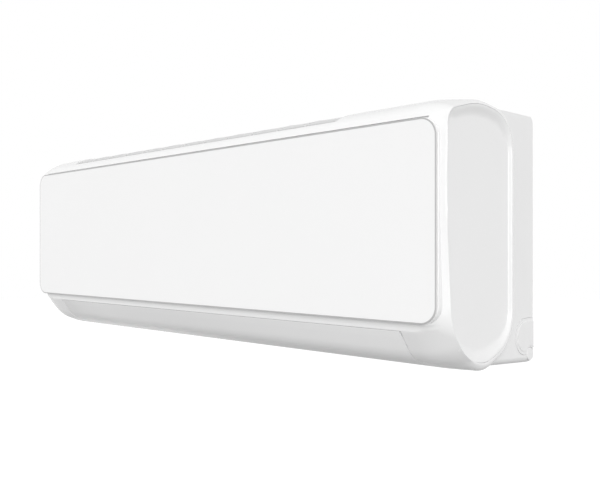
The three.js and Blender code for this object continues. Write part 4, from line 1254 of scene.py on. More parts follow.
@dataclass
class RearChassis:
    """The wall side of the unit: back wall, top, bottom, ends with pipe knock-outs, and the pipe recess."""

    half: float = 433.0
    wall: float = 3.0
    back: float = 215.4
    top_front: float = 127.0
    bottom_front: float = 97.5
    bottom_z: float = -147.2
    lower_rounding: float = 8.0
    large_hole: Point2 = (193.0, -120.5)
    large_radius: float = 22.0
    small_hole: Point2 = (207.5, -143.0)
    small_radius: float = 8.0

    def bottom(self, depth: float) -> float:
        """Gives the height of the underside at a depth."""
        return self.bottom_z - (depth - self.bottom_front) * 7.2 / (self.back - self.bottom_front)

    def knock_outline(self, growth: float, back: float) -> list[Point2]:
        """Gives the large knock-out's outline, open towards the wall."""
        (y, z), r = self.large_hole, self.large_radius + growth
        return rounded([(back, z + r), (y - r, z + r, r - 0.2), (y - r, z - r, r - 0.2), (back, z - r)])

    def lower_edge(self, side: int) -> Piece:
        """Gives the solid that rounds the lower edge of one end."""
        radius = self.lower_rounding
        rings = []
        for depth in (self.bottom_front - 5, self.back + 5):
            bottom = self.bottom(depth)
            arc = [math.pi / 2 * k / 8 for k in range(9)]
            inner, out = self.half - radius, self.half + 4
            ring = [(inner + radius * math.cos(t), bottom + radius - radius * math.sin(t)) for t in arc]
            ring += [(inner, bottom - 4), (out, bottom - 4), (out, bottom + radius)]
            rings.append([place(side * x, depth, z) for x, z in ring])
        return skin_over("lower_edge", rings)

    def build(self) -> None:
        """Builds and mounts the chassis and its four knock-outs."""
        wall, back = self.wall, self.back
        front, top_front = self.bottom_front, self.top_front
        outer = rounded([(top_front, 148), (back, 149.9, 8), (back, self.bottom(back), 8),
                         (front, self.bottom_z), (front, -100), (top_front, -60)])
        inside = rounded([(60, 144.2), (back - wall, 146, 5), (back - wall, -83), (176, -83), (165.1, -97),
                          (165.1, self.bottom(165.1) + wall), (60, -141)])
        recess = [(168.1, -98.1), (177.5, -86), (240, -86), (240, self.bottom(back) + wall),
                  (168.1, self.bottom(168.1) + wall)]
        piece = section("chassis", outer, Run.ACROSS, -self.half, self.half)
        tools = [section("inside", inside, Run.ACROSS, -self.half + wall, self.half - wall),
                 section("recess", recess, Run.ACROSS, -self.half + wall, self.half - wall)]
        for side in (-1, 1):
            low, high = sorted((side * (self.half - wall - 2), side * (self.half + 5)))
            tools.append(section("large_hole", self.knock_outline(0.3, back + 5), Run.ACROSS, low, high))
            ends = (low, *self.small_hole), (high, *self.small_hole)
            tools.append(bar("small_hole", self.small_radius + 0.3, *ends, 48))
        for x in FORM.hook_places:
            tools.append(slab("hook_slot", (x - 11, back - 5, 114), (x + 11, back + 2, 130)))
        tools.append(slab("passage", (372, 182, -88), (408, 210, -81)))
        tools += [self.lower_edge(side) for side in (-1, 1)]
        combine(piece, "DIFFERENCE", tools)
        soften(piece, 0.4, 2, 50)
        bulkhead = [(212, 40), (170, 8), (150, 22), (118, 22), (66, 0), (67, -58), (17.4, -92), (17.4, -97),
                    (56, -118), (70, -117), (82, -121), (90, -134), (97.4, -142.5), (165.6, -146.5),
                    (165.6, -96.5), (176.4, -83), (212, -83)]
        parts = [piece]
        for x0, x1, hole in ((-338.7, -336.5, 14), (292.0, 294.2, 7)):
            plate = section("bulkhead", bulkhead, Run.ACROSS, x0, x1)
            axis = FORM.fan_axis
            combine(plate, "DIFFERENCE", [bar("hole", hole, (x0 - 3, *axis), (x1 + 3, *axis), 48)])
            parts.append(plate)
        for z in (-40, 10, 60, 110):
            rib = slab("rib", (-420, back - wall - 6, z), (420, back - wall + 0.5, z + 1.6))
            parts.append(soften(rib, 0.3))
        piece = level(smooth(join(parts), 35))
        deliver(piece, "rear_chassis_shell", Finishes.SHADED_CHASSIS, "housing", "rear_chassis")
        for hand, side in (("left", -1), ("right", 1)):
            self.knockouts(hand, side)

    def knockouts(self, hand: str, side: int) -> None:
        """Builds the two knock-outs of one end, each a raised pad, the larger one stepped.

        Args:
            hand: The end's name, left or right.
            side: -1 for the left end, 1 for the right one.
        """
        inner, outer = side * (self.half - self.wall + 0.4), side * self.half
        y, z = self.small_hole
        large = []
        for growth, start, end, edge in ((0.0, inner, outer + side * 0.5, 0.8),
                                         (-4.2, outer, outer + side * 1.2, 0.7)):
            low, high = sorted((start, end))
            pad = section("pad", self.knock_outline(growth, self.back - 0.3), Run.ACROSS, low, high)
            combine(pad, "DIFFERENCE", [bar("bite", 8.6 - growth / 2, (low - 5, y, z), (high + 5, y, z), 48)])
            large.append(soften(pad, edge, 3, 50))
        low, high = sorted((inner, outer + side * 0.9))
        small = bar("small", self.small_radius, (low, y, z), (high, y, z), 48)
        combine(small, "DIFFERENCE", [slab("flat", (low - 5, self.back - 0.3, -170), (high + 5, 240, -100))])
        for name, piece in (("large", join(large)), ("small", soften(small, 0.8, 3, 50))):
            deliver(level(smooth(piece, 40)), f"knockout_{name}_{hand}_lid", Finishes.SHADED_CHASSIS, "housing",
                    f"knockout_{name}_{hand}")


# ------------------------------------------------------------------ intake grille


@dataclass
class IntakeGrille:
    """Thin bars and ribs that follow the casing's top just below its surface."""

    left: float = -327.0
    right: float = 282.0
    front: float = 15.4
    back: float = 122.7
    bars: int = 18
    ribs: int = 13
    drop: float = 1.0
    rib_height: float = 3.4
    bar_height: float = 2.6
    bar_half: float = 0.95

    def top(self, depth: float) -> float:
        """Gives the height of the casing's top at a depth."""
        outline = FORM.middle_outline()
        upper = outline[(outline[:, 1] > 120) & (outline[:, 0] < 160)]
        order = np.argsort(upper[:, 0])
        return float(np.interp(depth, upper[order, 0], upper[order, 1]))

    def build(self) -> None:
        """Builds and mounts the grille."""
        depths = np.linspace(self.front, self.back, 28)
        upper = [(float(d), self.top(d) - self.drop) for d in depths]
        lower = [(float(d), self.top(d) - self.drop - self.rib_height) for d in depths[::-1]]
        parts = []
        for x in np.linspace(self.left + 1.2, self.right - 1.2, self.ribs):
            rib = section("rib", upper + lower, Run.ACROSS, x - 0.8, x + 0.8)
            parts.append(soften(rib, 0.25, 1, 50))
        for d in np.linspace(self.front + self.bar_half, self.back - self.bar_half, self.bars):
            z = self.top(d) - self.drop - 0.45
            outline = box_outline(d - self.bar_half, d + self.bar_half, z - self.bar_height, z, 0.8, 22.5)
            parts.append(section("bar", outline, Run.ACROSS, self.left + 0.5, self.right - 0.5))
        deliver(smooth(join(parts), 40), "intake_grille_bars", Finishes.GRILLE, "housing", "intake_grille")


# ------------------------------------------------------------------ cross-flow fan


@dataclass
class CrossFlowFan:
    """The long fan wheel, with curved blades between rings, and its motor."""

    left: float = -331.2
    right: float = 286.7
    radius: float = 49.0
    inner_radius: float = 38.2
    hoop_inner: float = 37.6
    hoop_thick: float = 1.6
    blades: int = 36
    blade_steps: int = 5
    rings: int = 11
    motor_left: float = 297.2
    motor_right: float = 363.2
    motor_radius: float = 36.0
    vents: int = 10
    vent_circle: float = 21.0

    def blade(self) -> Piece:
        """Gives one curved blade at the top of the wheel."""
        line, steps = [], self.blade_steps
        for k in range(steps + 1):
            share = k / steps
            out = self.inner_radius + (self.radius - 1.1 - self.inner_radius) * share
            side = -3.2 + 5.2 * share - 2.2 * math.sin(math.pi * share)
            line.append((side, out))
        back = [(side + 0.45 + 0.5 * math.sin(math.pi * i / steps), out)
                for i, (side, out) in enumerate(line)]
        depth, height = FORM.fan_axis
        outline = [(depth + u, height + v) for u, v in line + back[::-1]]
        return section("blade", outline, Run.ACROSS, self.left + 1, self.right - 1)

    def turned(self, profile: Sequence[Point2], count: int) -> list[list[Vector]]:
        """Turns a profile about the fan's axis.

        Args:
            profile: The profile's points as (x, radius).
            count: Places round each ring.

        Returns:
            A ring for each point of the profile.
        """
        centre = place(0, *FORM.fan_axis)
        angles = [2 * math.pi * k / count for k in range(count)]
        return [[Vector((x * MM, centre.y + r * MM * math.cos(t), centre.z + r * MM * math.sin(t)))
                 for t in angles] for x, r in profile]

    def hoop(self, x: float, inner: float, thick: float) -> Piece:
        """Gives one ring that ties the blades together."""
        low, high = x - thick / 2, x + thick / 2
        profile = [(low, inner), (low, self.radius), (high, self.radius), (high, inner)]
        return ring_over("hoop", self.turned(profile, 48))

    def on_axis(self, name: str, radius: float, x0: float, x1: float, sides: int) -> Piece:
        """Gives a bar on the fan's axis."""
        return bar(name, radius, (x0, *FORM.fan_axis), (x1, *FORM.fan_axis), sides)

    def motor(self) -> Piece:
        """Gives the motor: two pressed shells with a seam, noses and vent holes."""
        left, right, r = self.motor_left, self.motor_right, self.motor_radius
        outline = rounded([(left + 7, 0), (left + 7, 12.5), (left + 10, 14), (left + 10, 30, 3),
                           (left + 16, r, 5), (right - 14, r, 5), (right - 8, 30, 3), (right - 8, 13),
                           (right - 1, 12.5, 1.5), (right - 1, 0)], 15)
        body = skin_over("motor", self.turned([p for p in outline if p[1] > 0.01], 64))
        depth, height = FORM.fan_axis
        cutters = []
        for k in range(self.vents):
            angle = math.radians(360 / self.vents * (k + 0.5))
            u, v = depth + self.vent_circle * math.cos(angle), height + self.vent_circle * math.sin(angle)
            cutters.append(bar("vent", 3.0, (left + 5, u, v), (left + 12, u, v), 16))
        cutters.append(self.on_axis("bore", 4.3, left - 5, right - 10, 24))
        combine(body, "DIFFERENCE", cutters)
        seam = self.hoop((left + right) / 2 - 8, r - 1, 2.2)
        centre = place(0, depth, height)
        for vertex in seam.data.vertices:
            away = Vector((0, vertex.co.y - centre.y, vertex.co.z - centre.z))
            vertex.co -= away.normalized() * (self.radius - r - 0.9) * MM if away.length > 0.04 else Vector()
        return join([body, seam])

    def build(self) -> None:
        """Builds and mounts the wheel and the motor."""
        first = self.blade()
        parts = [first]
        for k in range(1, self.blades):
            turn = 360 * k / self.blades + (k % 3) * 1.1
            parts.append(turned_copy(first, "blade", place(0, *FORM.fan_axis), turn))
        for x in np.linspace(self.left + 2, self.right - 2, self.rings):
            parts.append(self.hoop(float(x), self.hoop_inner, self.hoop_thick))
        for x0, x1 in ((self.left, self.left + 3), (self.right - 3, self.right)):
            parts.append(soften(self.on_axis("disc", self.radius - 0.3, x0, x1, 64), 0.6, 2))
        parts.append(self.on_axis("stub", 4.0, self.left - 10, self.left + 2, 24))
        parts.append(soften(self.on_axis("hub", 14, self.right - 10, self.right - 2, 32), 1.2, 3))
        deliver(smooth(join(parts), 40), "fan_wheel_blades", Finishes.FAN, "fan", "fan_wheel")
        deliver(smooth(self.motor(), 35), "fan_motor_shell", Finishes.MOTOR, "housing", "fan_motor")


# ------------------------------------------------------------------ evaporator


@dataclass(frozen=True)
class CoilSection:
    """One straight block of the evaporator, seen from the side."""

    name: str
    start: Point2
    end: Point2
    tubes: int


@dataclass
class Evaporator:
    """Three finned blocks with copper return bends at their left ends."""

    left: float = -330.2
    right: float = 285.7
    thick: float = 26.0
    fin_pitch: float = 2.4
    fin: float = 0.25
    core_inset: float = 1.4
    core_trim: float = 0.8
    tube_radius: float = 3.0
    tube_rows: Point2 = (-6.0, 6.0)
    bend_reach: float = 11.0
    sections: tuple[CoilSection, ...] = (CoilSection("coil_front", (40, -68), (40, 62), 6),
                                         CoilSection("coil_upper", (46, 70), (92, 118), 3),
                                         CoilSection("coil_rear", (116, 110), (166, 30), 4))

    def block(self, part: CoilSection) -> Piece:
        """Gives one block: a core with a fin standing proud of it at every pitch.

        Args:
            part: The block's place and number of tubes.

        Returns:
            The block without its bends.
        """
        start, end = np.array(part.start), np.array(part.end)
        along = (end - start) / np.linalg.norm(end - start)
        across = np.array((-along[1], along[0]))

        def outline(half: float, trim: float) -> list[Point2]:
            """Gives the block's corners at a half thickness, shortened at both ends."""
            a, b = start + along * trim, end - along * trim
            return [tuple(a + across * half), tuple(a - across * half), tuple(b - across * half),
                    tuple(b + across * half)]

        inner = outline(self.thick / 2 - self.core_inset, self.core_trim)
        core = section("core", inner, Run.ACROSS, self.left, self.right)
        fin = section("fin", outline(self.thick / 2, 0.0), Run.ACROSS, self.left, self.left + self.fin)
        parts = [core, fin]
        count = int((self.right - self.left - self.fin) / self.fin_pitch)
        step = (self.right - self.left - self.fin) / count
        for k in range(1, count + 1):
            parts.append(copy_moved(fin, "fin", Vector((k * step * MM, 0, 0))))
        return join(parts)

    def bends(self, part: CoilSection) -> Piece:
        """Gives the copper return bends at the left end of a block.

        Args:
            part: The block's place and number of tubes.

        Returns:
            The bends.
        """
        start, end = np.array(part.start), np.array(part.end)
        along = end - start
        across = np.array((-along[1], along[0])) / np.linalg.norm(along)
        loops = []
        for k in range(part.tubes):
            middle = start + along * (k + 0.5) / part.tubes
            half = along / part.tubes * 0.24
            for row in self.tube_rows:
                a, b = middle - half + across * row, middle + half + across * row
                x = self.left + 0.5
                out = x - self.bend_reach
                path = [tuple(map(float, p)) for p in ((x, *a), (out, *a), (out, *b), (x, *b))]
                loops.append(tube("bend", self.tube_radius, path, 4.5, 12))
        return join(loops)

    def build(self) -> None:
        """Builds and mounts the blocks and their bends."""
        for part in self.sections:
            deliver(self.block(part), f"{part.name}_fins", Finishes.FINS, "housing", part.name)
            bends = smooth(self.bends(part), 60)
            deliver(bends, f"{part.name}_bends", Finishes.COPPER, "housing", part.name)


# ------------------------------------------------------------------ air filters


@dataclass
class AirFilter:
    """One washable filter: a ribbed frame that bends back over the coil, with a fine net in its windows."""

    hand: str
    left: float
    right: float
    front: float = 18.3
    bottom: float = -65.7
    top: float = 134.0
    bend: float = 58.0
    rear: float = 122.0
    half: float = 1.0
    columns: int = 5
    rib: float = 5.0
    crossbar_width: float = 2.4
    crossbars: tuple[int, ...] = (0, 1, 2, 3, 7, 11, 16)
    grips: Point2 = (0.3, 0.7)
    net_half: float = 0.15

    def line(self, offset: float) -> list[Point2]:
        """Gives the filter's line from its lower edge up and back.

        Args:
            offset: How far the line is moved inwards.

        Returns:
            The line's points as (depth, z).
        """
        points = [(self.front + offset, self.bottom + 84 * k / 3) for k in range(3)]
        points.append((self.front + offset, self.top - self.bend))
        for k in range(1, 13):
            angle = math.pi / 2 * k / 12
            radius = self.bend - offset
            points.append((self.front + self.bend - radius * math.cos(angle),
                           self.top - self.bend + radius * math.sin(angle)))
        points.append((self.rear, self.top - offset))
        return points

    def strip(self, x0: float, x1: float, low: float, high: float) -> Piece:
        """Gives a strip of the filter between two offsets."""
        outline = self.line(low) + self.line(high)[::-1]
        return section("strip", outline, Run.ACROSS, x0, x1)

    def crossbar(self, index: int) -> Piece:
        """Gives a rib along the filter.

        Args:
            index: The point of the filter's line where it lies.

        Returns:
            The rib.
        """
        inner, outer = np.array(self.line(self.half)), np.array(self.line(-self.half))
        last = len(inner) - 1
        a, b = outer[index], inner[index]
        ahead = outer[min(index + 1, last)] - outer[max(index - 1, 0)]
        ahead = ahead / np.linalg.norm(ahead) * self.crossbar_width
        start, end = {0: (0.0, 1.5), last: (-1.5, 0.0)}.get(index, (-0.5, 0.5))
        corners = [a + ahead * start, a + ahead * end, b + ahead * end, b + ahead * start]
        return section("crossbar", [tuple(map(float, c)) for c in corners], Run.ACROSS, self.left, self.right)

    def build(self) -> None:
        """Builds and mounts the frame and the net."""
        parts = []
        pitch = (self.right - self.left - self.rib) / self.columns
        for k in range(self.columns + 1):
            x = self.left + pitch * k
            parts.append(soften(self.strip(x, x + self.rib, -self.half, self.half), 0.35))
        for index in self.crossbars:
            parts.append(self.crossbar(index))
        for share in self.grips:
            x = self.left + (self.right - self.left) * share
            low = (x - 12, self.front - 0.9, self.bottom + 3)
            high = (x + 12, self.front + 0.9, self.bottom + 15)
            parts.append(soften(slab("grip", low, high), 0.7, 2))
        deliver(smooth(join(parts), 35), f"filter_{self.hand}_frame", Finishes.FILTER, "housing",
                f"filter_{self.hand}")
        net = self.strip(self.left + 2, self.right - 2, -self.net_half, self.net_half)
        deliver(smooth(net, 60), f"filter_{self.hand}_net", Finishes.NET, "housing", f"filter_{self.hand}")


# ------------------------------------------------------------------ control box


@dataclass
class ControlUnit:
    """The box beside the coil with its lid, the circuit board and the terminal block."""

    left: float = 322.2
    right: float = 424.0
    front: float = 22.0
    back: float = 72.0
    bottom: float = -60.0
    top: float = 104.0
    wall: float = 2.0
    gap: float = 0.3
    board_thick: float = 1.6
    clamps: int = 6
    blocks: tuple[tuple[float, ...], ...] = (  # left, right, height off the board, bottom, top
        (14, 44, 24, 40, 74), (58, 74, 16, 10, 30), (52, 68, 13, 62, 76), (74, 90, 13, 62, 76),
        (50, 84, 3.5, 40, 54), (12, 34, 8, -20, -12), (42, 62, 8, -20, -12), (12, 28, 9, 84, 92))
    cans: tuple[tuple[float, ...], ...] = (  # place, z, radius, height off the board
        (18, 14, 7, 20), (36, 16, 6, 17), (20, -2, 4, 12), (80, -2, 4, 12))

    def shell(self) -> Piece:
        """Gives the open box with its vents, tabs and rounded corners."""
        outline = box_outline(self.left, self.right, self.bottom, self.top, 3.0)
        piece = section("box", outline, Run.INWARD, self.front, self.back)
        room = box_outline(self.left + self.wall, self.right - self.wall, self.bottom + self.wall,
                           self.top - self.wall, 1.5)
        slots = [slab("vent", (x, self.back - 8, self.top - 6), (x + 3, self.back - 22, self.top + 5))
                 for x in np.arange(self.left + 14, self.right - 14, 8)]
        hollow = section("room", room, Run.INWARD, self.front - 5, self.back - self.wall)
        combine(piece, "DIFFERENCE", [hollow] + slots)
        parts = [soften(piece, 0.5, 2, 50)]
        for z in (10, 40):
            parts.append(soften(slab("tab", (287.8, 60, z), (self.left + 1, 66, z + 8)), 0.5))
        return join(parts)

    def cover(self) -> Piece:
        """Gives the pressed lid with a raised field and four screws."""
        face = self.front - self.gap - self.wall
        outline = box_outline(self.left, self.right, self.bottom, self.top, 3.0)
        piece = section("lid", outline, Run.INWARD, face + 0.6, self.front - self.gap)
        middle = box_outline(self.left + 9, self.right - 9, self.bottom + 12, self.top - 12, 6.0)
        raised = soften(section("field", middle, Run.INWARD, face + 0.1, face + 1.2), 0.4, 2, 50)
        parts = [soften(piece, 0.3, 2, 50), raised]
        for x in (self.left + 4.5, self.right - 4.5):
            for z in (self.bottom + 6, self.top - 6):
                head = bar("head", 2.4, (x, face, z), (x, face + 1.2, z), 20)
                parts.append(combine(head, "DIFFERENCE", cross_slots(x, z, 1.6, 0.3, face - 1, face + 0.5)))
        return join(parts)

    def board(self) -> Piece:
        """Gives the circuit board with its transformer, capacitors, relays, chip and plugs."""
        back = self.back - self.wall - self.gap
        front, left = back - self.board_thick, self.left
        parts = [slab("board", (left + 6, front, self.bottom + 34), (self.right - 6, back, self.top - 8))]
        for x0, x1, tall, z0, z1 in self.blocks:
            block = slab("block", (left + x0, back - tall, z0), (left + x1, front + 0.2, z1))
            parts.append(soften(block, 0.5))
        for x, z, radius, tall in self.cans:
            can = bar("can", radius, (left + x, back - tall, z), (left + x, front + 0.2, z), 28)
            parts.append(soften(can, 0.8, 2))
        return join(parts)

    def terminals(self) -> Piece:
        """Gives the terminal block: partitions between six clamps, each with a slotted screw."""
        back = self.back - self.wall - self.gap
        x0, x1 = self.left + 10, self.right - 12
        z0, z1 = self.bottom + 6, self.bottom + 24
        parts = [soften(slab("base", (x0, back - 8, z0), (x1, back, z1)), 0.4)]
        pitch = (x1 - x0) / self.clamps
        for k in range(self.clamps + 1):
            x = min(max(x0 + pitch * k, x0 + 0.8), x1 - 0.8)
            wall = slab("wall", (x - 0.8, back - 19.5, z0 + 2), (x + 0.8, back - 7, z1 - 2))
            parts.append(soften(wall, 0.3))
        for k in range(self.clamps):
            x, z = x0 + pitch * (k + 0.5), (z0 + z1) / 2
            screw = bar("screw", 3.2, (x, back - 13, z), (x, back - 7.5, z), 20)
            slot = slab("slot", (x - 4, back - 15, z - 0.5), (x + 4, back - 11.8, z + 0.5))
            parts.append(combine(screw, "DIFFERENCE", [slot]))
        return join(parts)

    def build(self) -> None:
        """Builds and mounts the box and what is in it."""
        shell, cover = level(smooth(self.shell(), 35)), level(smooth(self.cover(), 35))
        board, terminals = smooth(self.board(), 35), smooth(self.terminals(), 35)
        deliver(shell, "control_box_shell", Finishes.INNER, "housing", "control_box")
        deliver(cover, "control_box_lid", Finishes.STEEL, "housing", "control_box_cover")
        deliver(board, "control_board_populated", Finishes.BOARD, "housing", "control_board")
        deliver(terminals, "terminal_block_clamps", Finishes.TERMINAL, "housing", "terminal_block")


# ------------------------------------------------------------------ vertical vanes


@dataclass
class Vanes:
    """Eight vanes with rounded corners that steer the air sideways, each on its own pivot."""

    count: int = 8
    pitch: float = 76.0
    middle: float = -22.25
    rear_chord: float = 8.0
    front_chord: float = 16.0
    height: float = 30.0
    thick: float = 1.6
    crank: float = 12.0
    lip: Point2 = (91.0, -142.6)
    floor_drop: float = 70.0
    foot: float = 10.0

    def on_floor(self, forward: float, up: float) -> Point2:
        """Gives a place beside a vane's pivot.

        Args:
            forward: How far it lies forward along the air.
            up: How far it lies above the outlet's floor.

        Returns:
            The place as (depth, z).
        """
        top = np.array(FORM.fan_axis) - (0.0, self.floor_drop)
        along = np.array(self.lip) - top
        along /= np.linalg.norm(along)
        rise = np.array((along[1], -along[0]))
        spot = top + along * (self.foot + forward) + rise * up
        return float(spot[0]), float(spot[1])

    def vane(self, x: float) -> Piece:
        """Gives one vane with rounded corners, its pivot and its crank pin."""
        corners = [(-self.rear_chord, 1.6, 2.0), (self.front_chord, 0.6, 3.0), (self.front_chord, 24.0, 5.0),
                   (self.front_chord - 5, self.height, 3.0), (-self.rear_chord + 3, self.height, 2.5),
                   (-self.rear_chord, self.height - 4, 2.5)]
        outline = rounded([(*self.on_floor(u, v), r) for u, v, r in corners], 15)
        half = self.thick / 2
        blade = soften(section("vane", outline, Run.ACROSS, x - half, x + half), 0.6, 3, 50)
        low, high = self.on_floor(0, -2.5), self.on_floor(0, 4)
        pivot = soften(bar("pivot", 2.0, (x, *low), (x, *high), 20), 0.3)
        low, high = (self.on_floor(self.crank, self.height + up) for up in (-3, 4.8))
        pin = soften(bar("crank", 1.3, (x, *low), (x, *high), 16), 0.3)
        return join([blade, pivot, pin])

    def build(self) -> None:
        """Builds and mounts the vanes."""
        first = self.middle - (self.count - 1) / 2 * self.pitch
        for k in range(self.count):
            piece = level(smooth(self.vane(first + k * self.pitch), 40))
            deliver(piece, f"vane_{k + 1}_blade", Finishes.INNER, f"vane{k + 1}", f"vane_{k + 1}")


# ------------------------------------------------------------------ mounting plate and small parts


@dataclass
class MountingPlate:
    """The pressed steel plate on the wall: windows, screw holes, stiffening beads, legs and two hooks."""

    front: float = 215.8
    back: float = 217.0
    half: float = 280.0
    top: float = 132.0
    bottom: float = -76.0
    feet: float = -146.0
    legs: Point2 = (-220.0, 220.0)
    hook_tip: float = 208.8

    def opening(self, name: str, *limits: float) -> Piece:
        """Gives a cutter through the sheet, from box_outline's limits."""
        return section(name, box_outline(*limits), Run.INWARD, self.front - 5, self.back + 5)

    def build(self) -> None:
        """Builds and mounts the plate."""
        face = self.front
        outline = box_outline(-self.half, self.half, self.bottom, self.top, 8)
        sheet = section("sheet", outline, Run.INWARD, face, self.back)
        legs = [slab("leg", (x - 20, face, self.feet), (x + 20, self.back, self.bottom + 5))
                for x in self.legs]
        combine(sheet, "UNION", legs)
        tools = [bar("hole", 3, (x, face - 5, z), (x, self.back + 5, z), 24)
                 for x in (-250, -125, 125, 250) for z in (96, -50)]
        for x0, x1 in ((-240, -150), (-105, -35), (35, 105), (150, 240)):
            tools.append(self.opening("window", x0, x1, -24, 64, 8))
        tools += [self.opening("slot", x - 9, x + 9, 92, 98, 2.9) for x in (-60, -20, 20, 60)]
        tools += [self.opening("slot", x - 3, x + 3, -134, -112, 2.9) for x in self.legs]
        combine(sheet, "DIFFERENCE", tools)
        parts = [soften(sheet, 0.25, 1, 50)]
        for z in (-64, 80, 114):
            outline = box_outline(-262, 262, z - 2.2, z + 2.2, 2.1)
            parts.append(soften(section("bead", outline, Run.INWARD, face - 0.35, face + 0.5), 0.3, 2, 50))
        tip = self.hook_tip
        for x in FORM.hook_places:
            parts.append(soften(slab("arm", (x - 9, tip, 121), (x + 9, face + 0.6, 123)), 0.4))
            parts.append(soften(slab("hook", (x - 9, tip, 121.2), (x + 9, tip + 2, 130)), 0.6))
        piece = level(smooth(join(parts), 35))
        deliver(piece, "mounting_plate_pressed", Finishes.STEEL, "housing", "mounting_plate")


@dataclass
class SmallParts:
    """Display, manual button, casing screws and flare nuts."""

    face: float = 11.0
    button: tuple[float, float] = (370.0, -60.0)
    screw_z: float = -82.0
    screw_places: Place = (-300.0, 0.0, 240.0)
    threads: int = 6
    thread_pitch: float = 0.95
    pipe_depth: float = 196.0

    def display(self) -> Piece:
        """Gives the display: a lens on a base with rounded edges."""
        base = section("base", box_outline(300, 348, -70, -50, 2.5), Run.INWARD, 6, self.face - 0.3)
        lens = section("lens", box_outline(306, 342, -66, -54, 1.5), Run.INWARD, 4.4, 7)
        parts = [soften(base, 0.6, 2, 50), soften(lens, 0.4, 2, 50)]
        return join(parts)

    def push_button(self) -> Piece:
        """Gives the button: a stem with rounded edges and a retaining flange."""
        x, z = self.button
        stem = soften(bar("stem", 4, (x, 9.3, z), (x, 15.5, z), 40), 0.6, 3)
        flange = soften(bar("flange", 5.6, (x, 13.8, z), (x, 16, z), 40), 0.3)
        return join([stem, flange])

    def screw(self, x: float) -> Piece:
        """Gives one cross-slotted screw with a domed head and a threaded shank."""
        z, face = self.screw_z, self.face
        head = soften(bar("head", 3.8, (x, face - 2.2, z), (x, face - 0.3, z), 32), 0.9, 4)
        combine(head, "DIFFERENCE", cross_slots(x, z, 2.3, 0.4, face - 4, face - 1.3))
        parts = [head, bar("shank", 1.45, (x, face - 1, z), (x, 16.8, z), 20)]
        for k in range(self.threads):
            y = face + 0.4 + k * self.thread_pitch
            parts.append(bar("thread", 1.8, (x, y, z), (x, y + 0.45, z), 20))
        return join(parts)

    def nut(self, radius: float, low: float, high: float, z: float, bore: float) -> Piece:
        """Gives a hexagonal flare nut with a turned collar.

        Args:
            radius: The nut's radius over its corners.
            low: Where its collar starts along the pipe.
            high: Where it ends.
            z: The pipe's height.
            bore: The radius of its bore.

        Returns:
            The nut.
        """
        y = self.pipe_depth
        nut = soften(bar("nut", radius, (low, y, z), (high, y, z), 6), 0.5, 2)
        collar = bar("collar", radius * 0.74, (low, y, z), (low + 2, y, z), 32)
        for part in (nut, collar):
            combine(part, "DIFFERENCE", [bar("bore", bore, (low - 1, y, z), (low + 9, y, z), 24)])
        return join([nut, collar])

    def build(self) -> None:
        """Builds and mounts the small parts."""
        display, button = smooth(self.display(), 40), smooth(self.push_button(), 40)
        deliver(display, "display_module_window", Finishes.LENS, "housing", "display_module")
        deliver(button, "manual_button_cap", Finishes.INNER, "button", "manual_button")
        for i, x in enumerate(self.screw_places, 1):
            screw = smooth(self.screw(x), 35)
            deliver(screw, f"casing_screw_{i}_slotted", Finishes.STEEL, "housing", f"casing_screw_{i}")
        for name, sizes in (("suction", (11, 39.7, 59.7, -106, 5.5)),
                            ("liquid", (8.5, 73.7, 89.7, -130, 4.0))):
            nut = smooth(self.nut(*sizes), 35)
            deliver(nut, f"{name}_flare_nut_hex", Finishes.BRASS, "housing", f"{name}_flare_nut")


# ------------------------------------------------------------------ CAD nodes that keep their shape


class KeptNodes:
    """CAD nodes whose own shape shows, each with its finish."""

    finishes: dict[Finish, tuple[str, ...]] = {
        Finishes.INNER: ("panel_frame", "panel_pivot_left", "panel_pivot_right", "scroll_duct", "drain_pan",
                         "motor_clamp", "vane_link_left", "vane_link_right"),
        Finishes.STEEL: ("louver_shaft", "louver_motor", "coil_bracket_left", "coil_bracket_right",
                         "motor_shaft"),
        Finishes.RUBBER: ("fan_bearing",),
        Finishes.COPPER: ("suction_pipe", "liquid_pipe"),
    }

    def build(self) -> None:
        """Dresses each node that is still shown."""
        for finish, names in self.finishes.items():
            for name in names:
                dress(frame["nodes"][name], finish)
                LOG.info("%s dressed", name)


# ------------------------------------------------------------------ studio


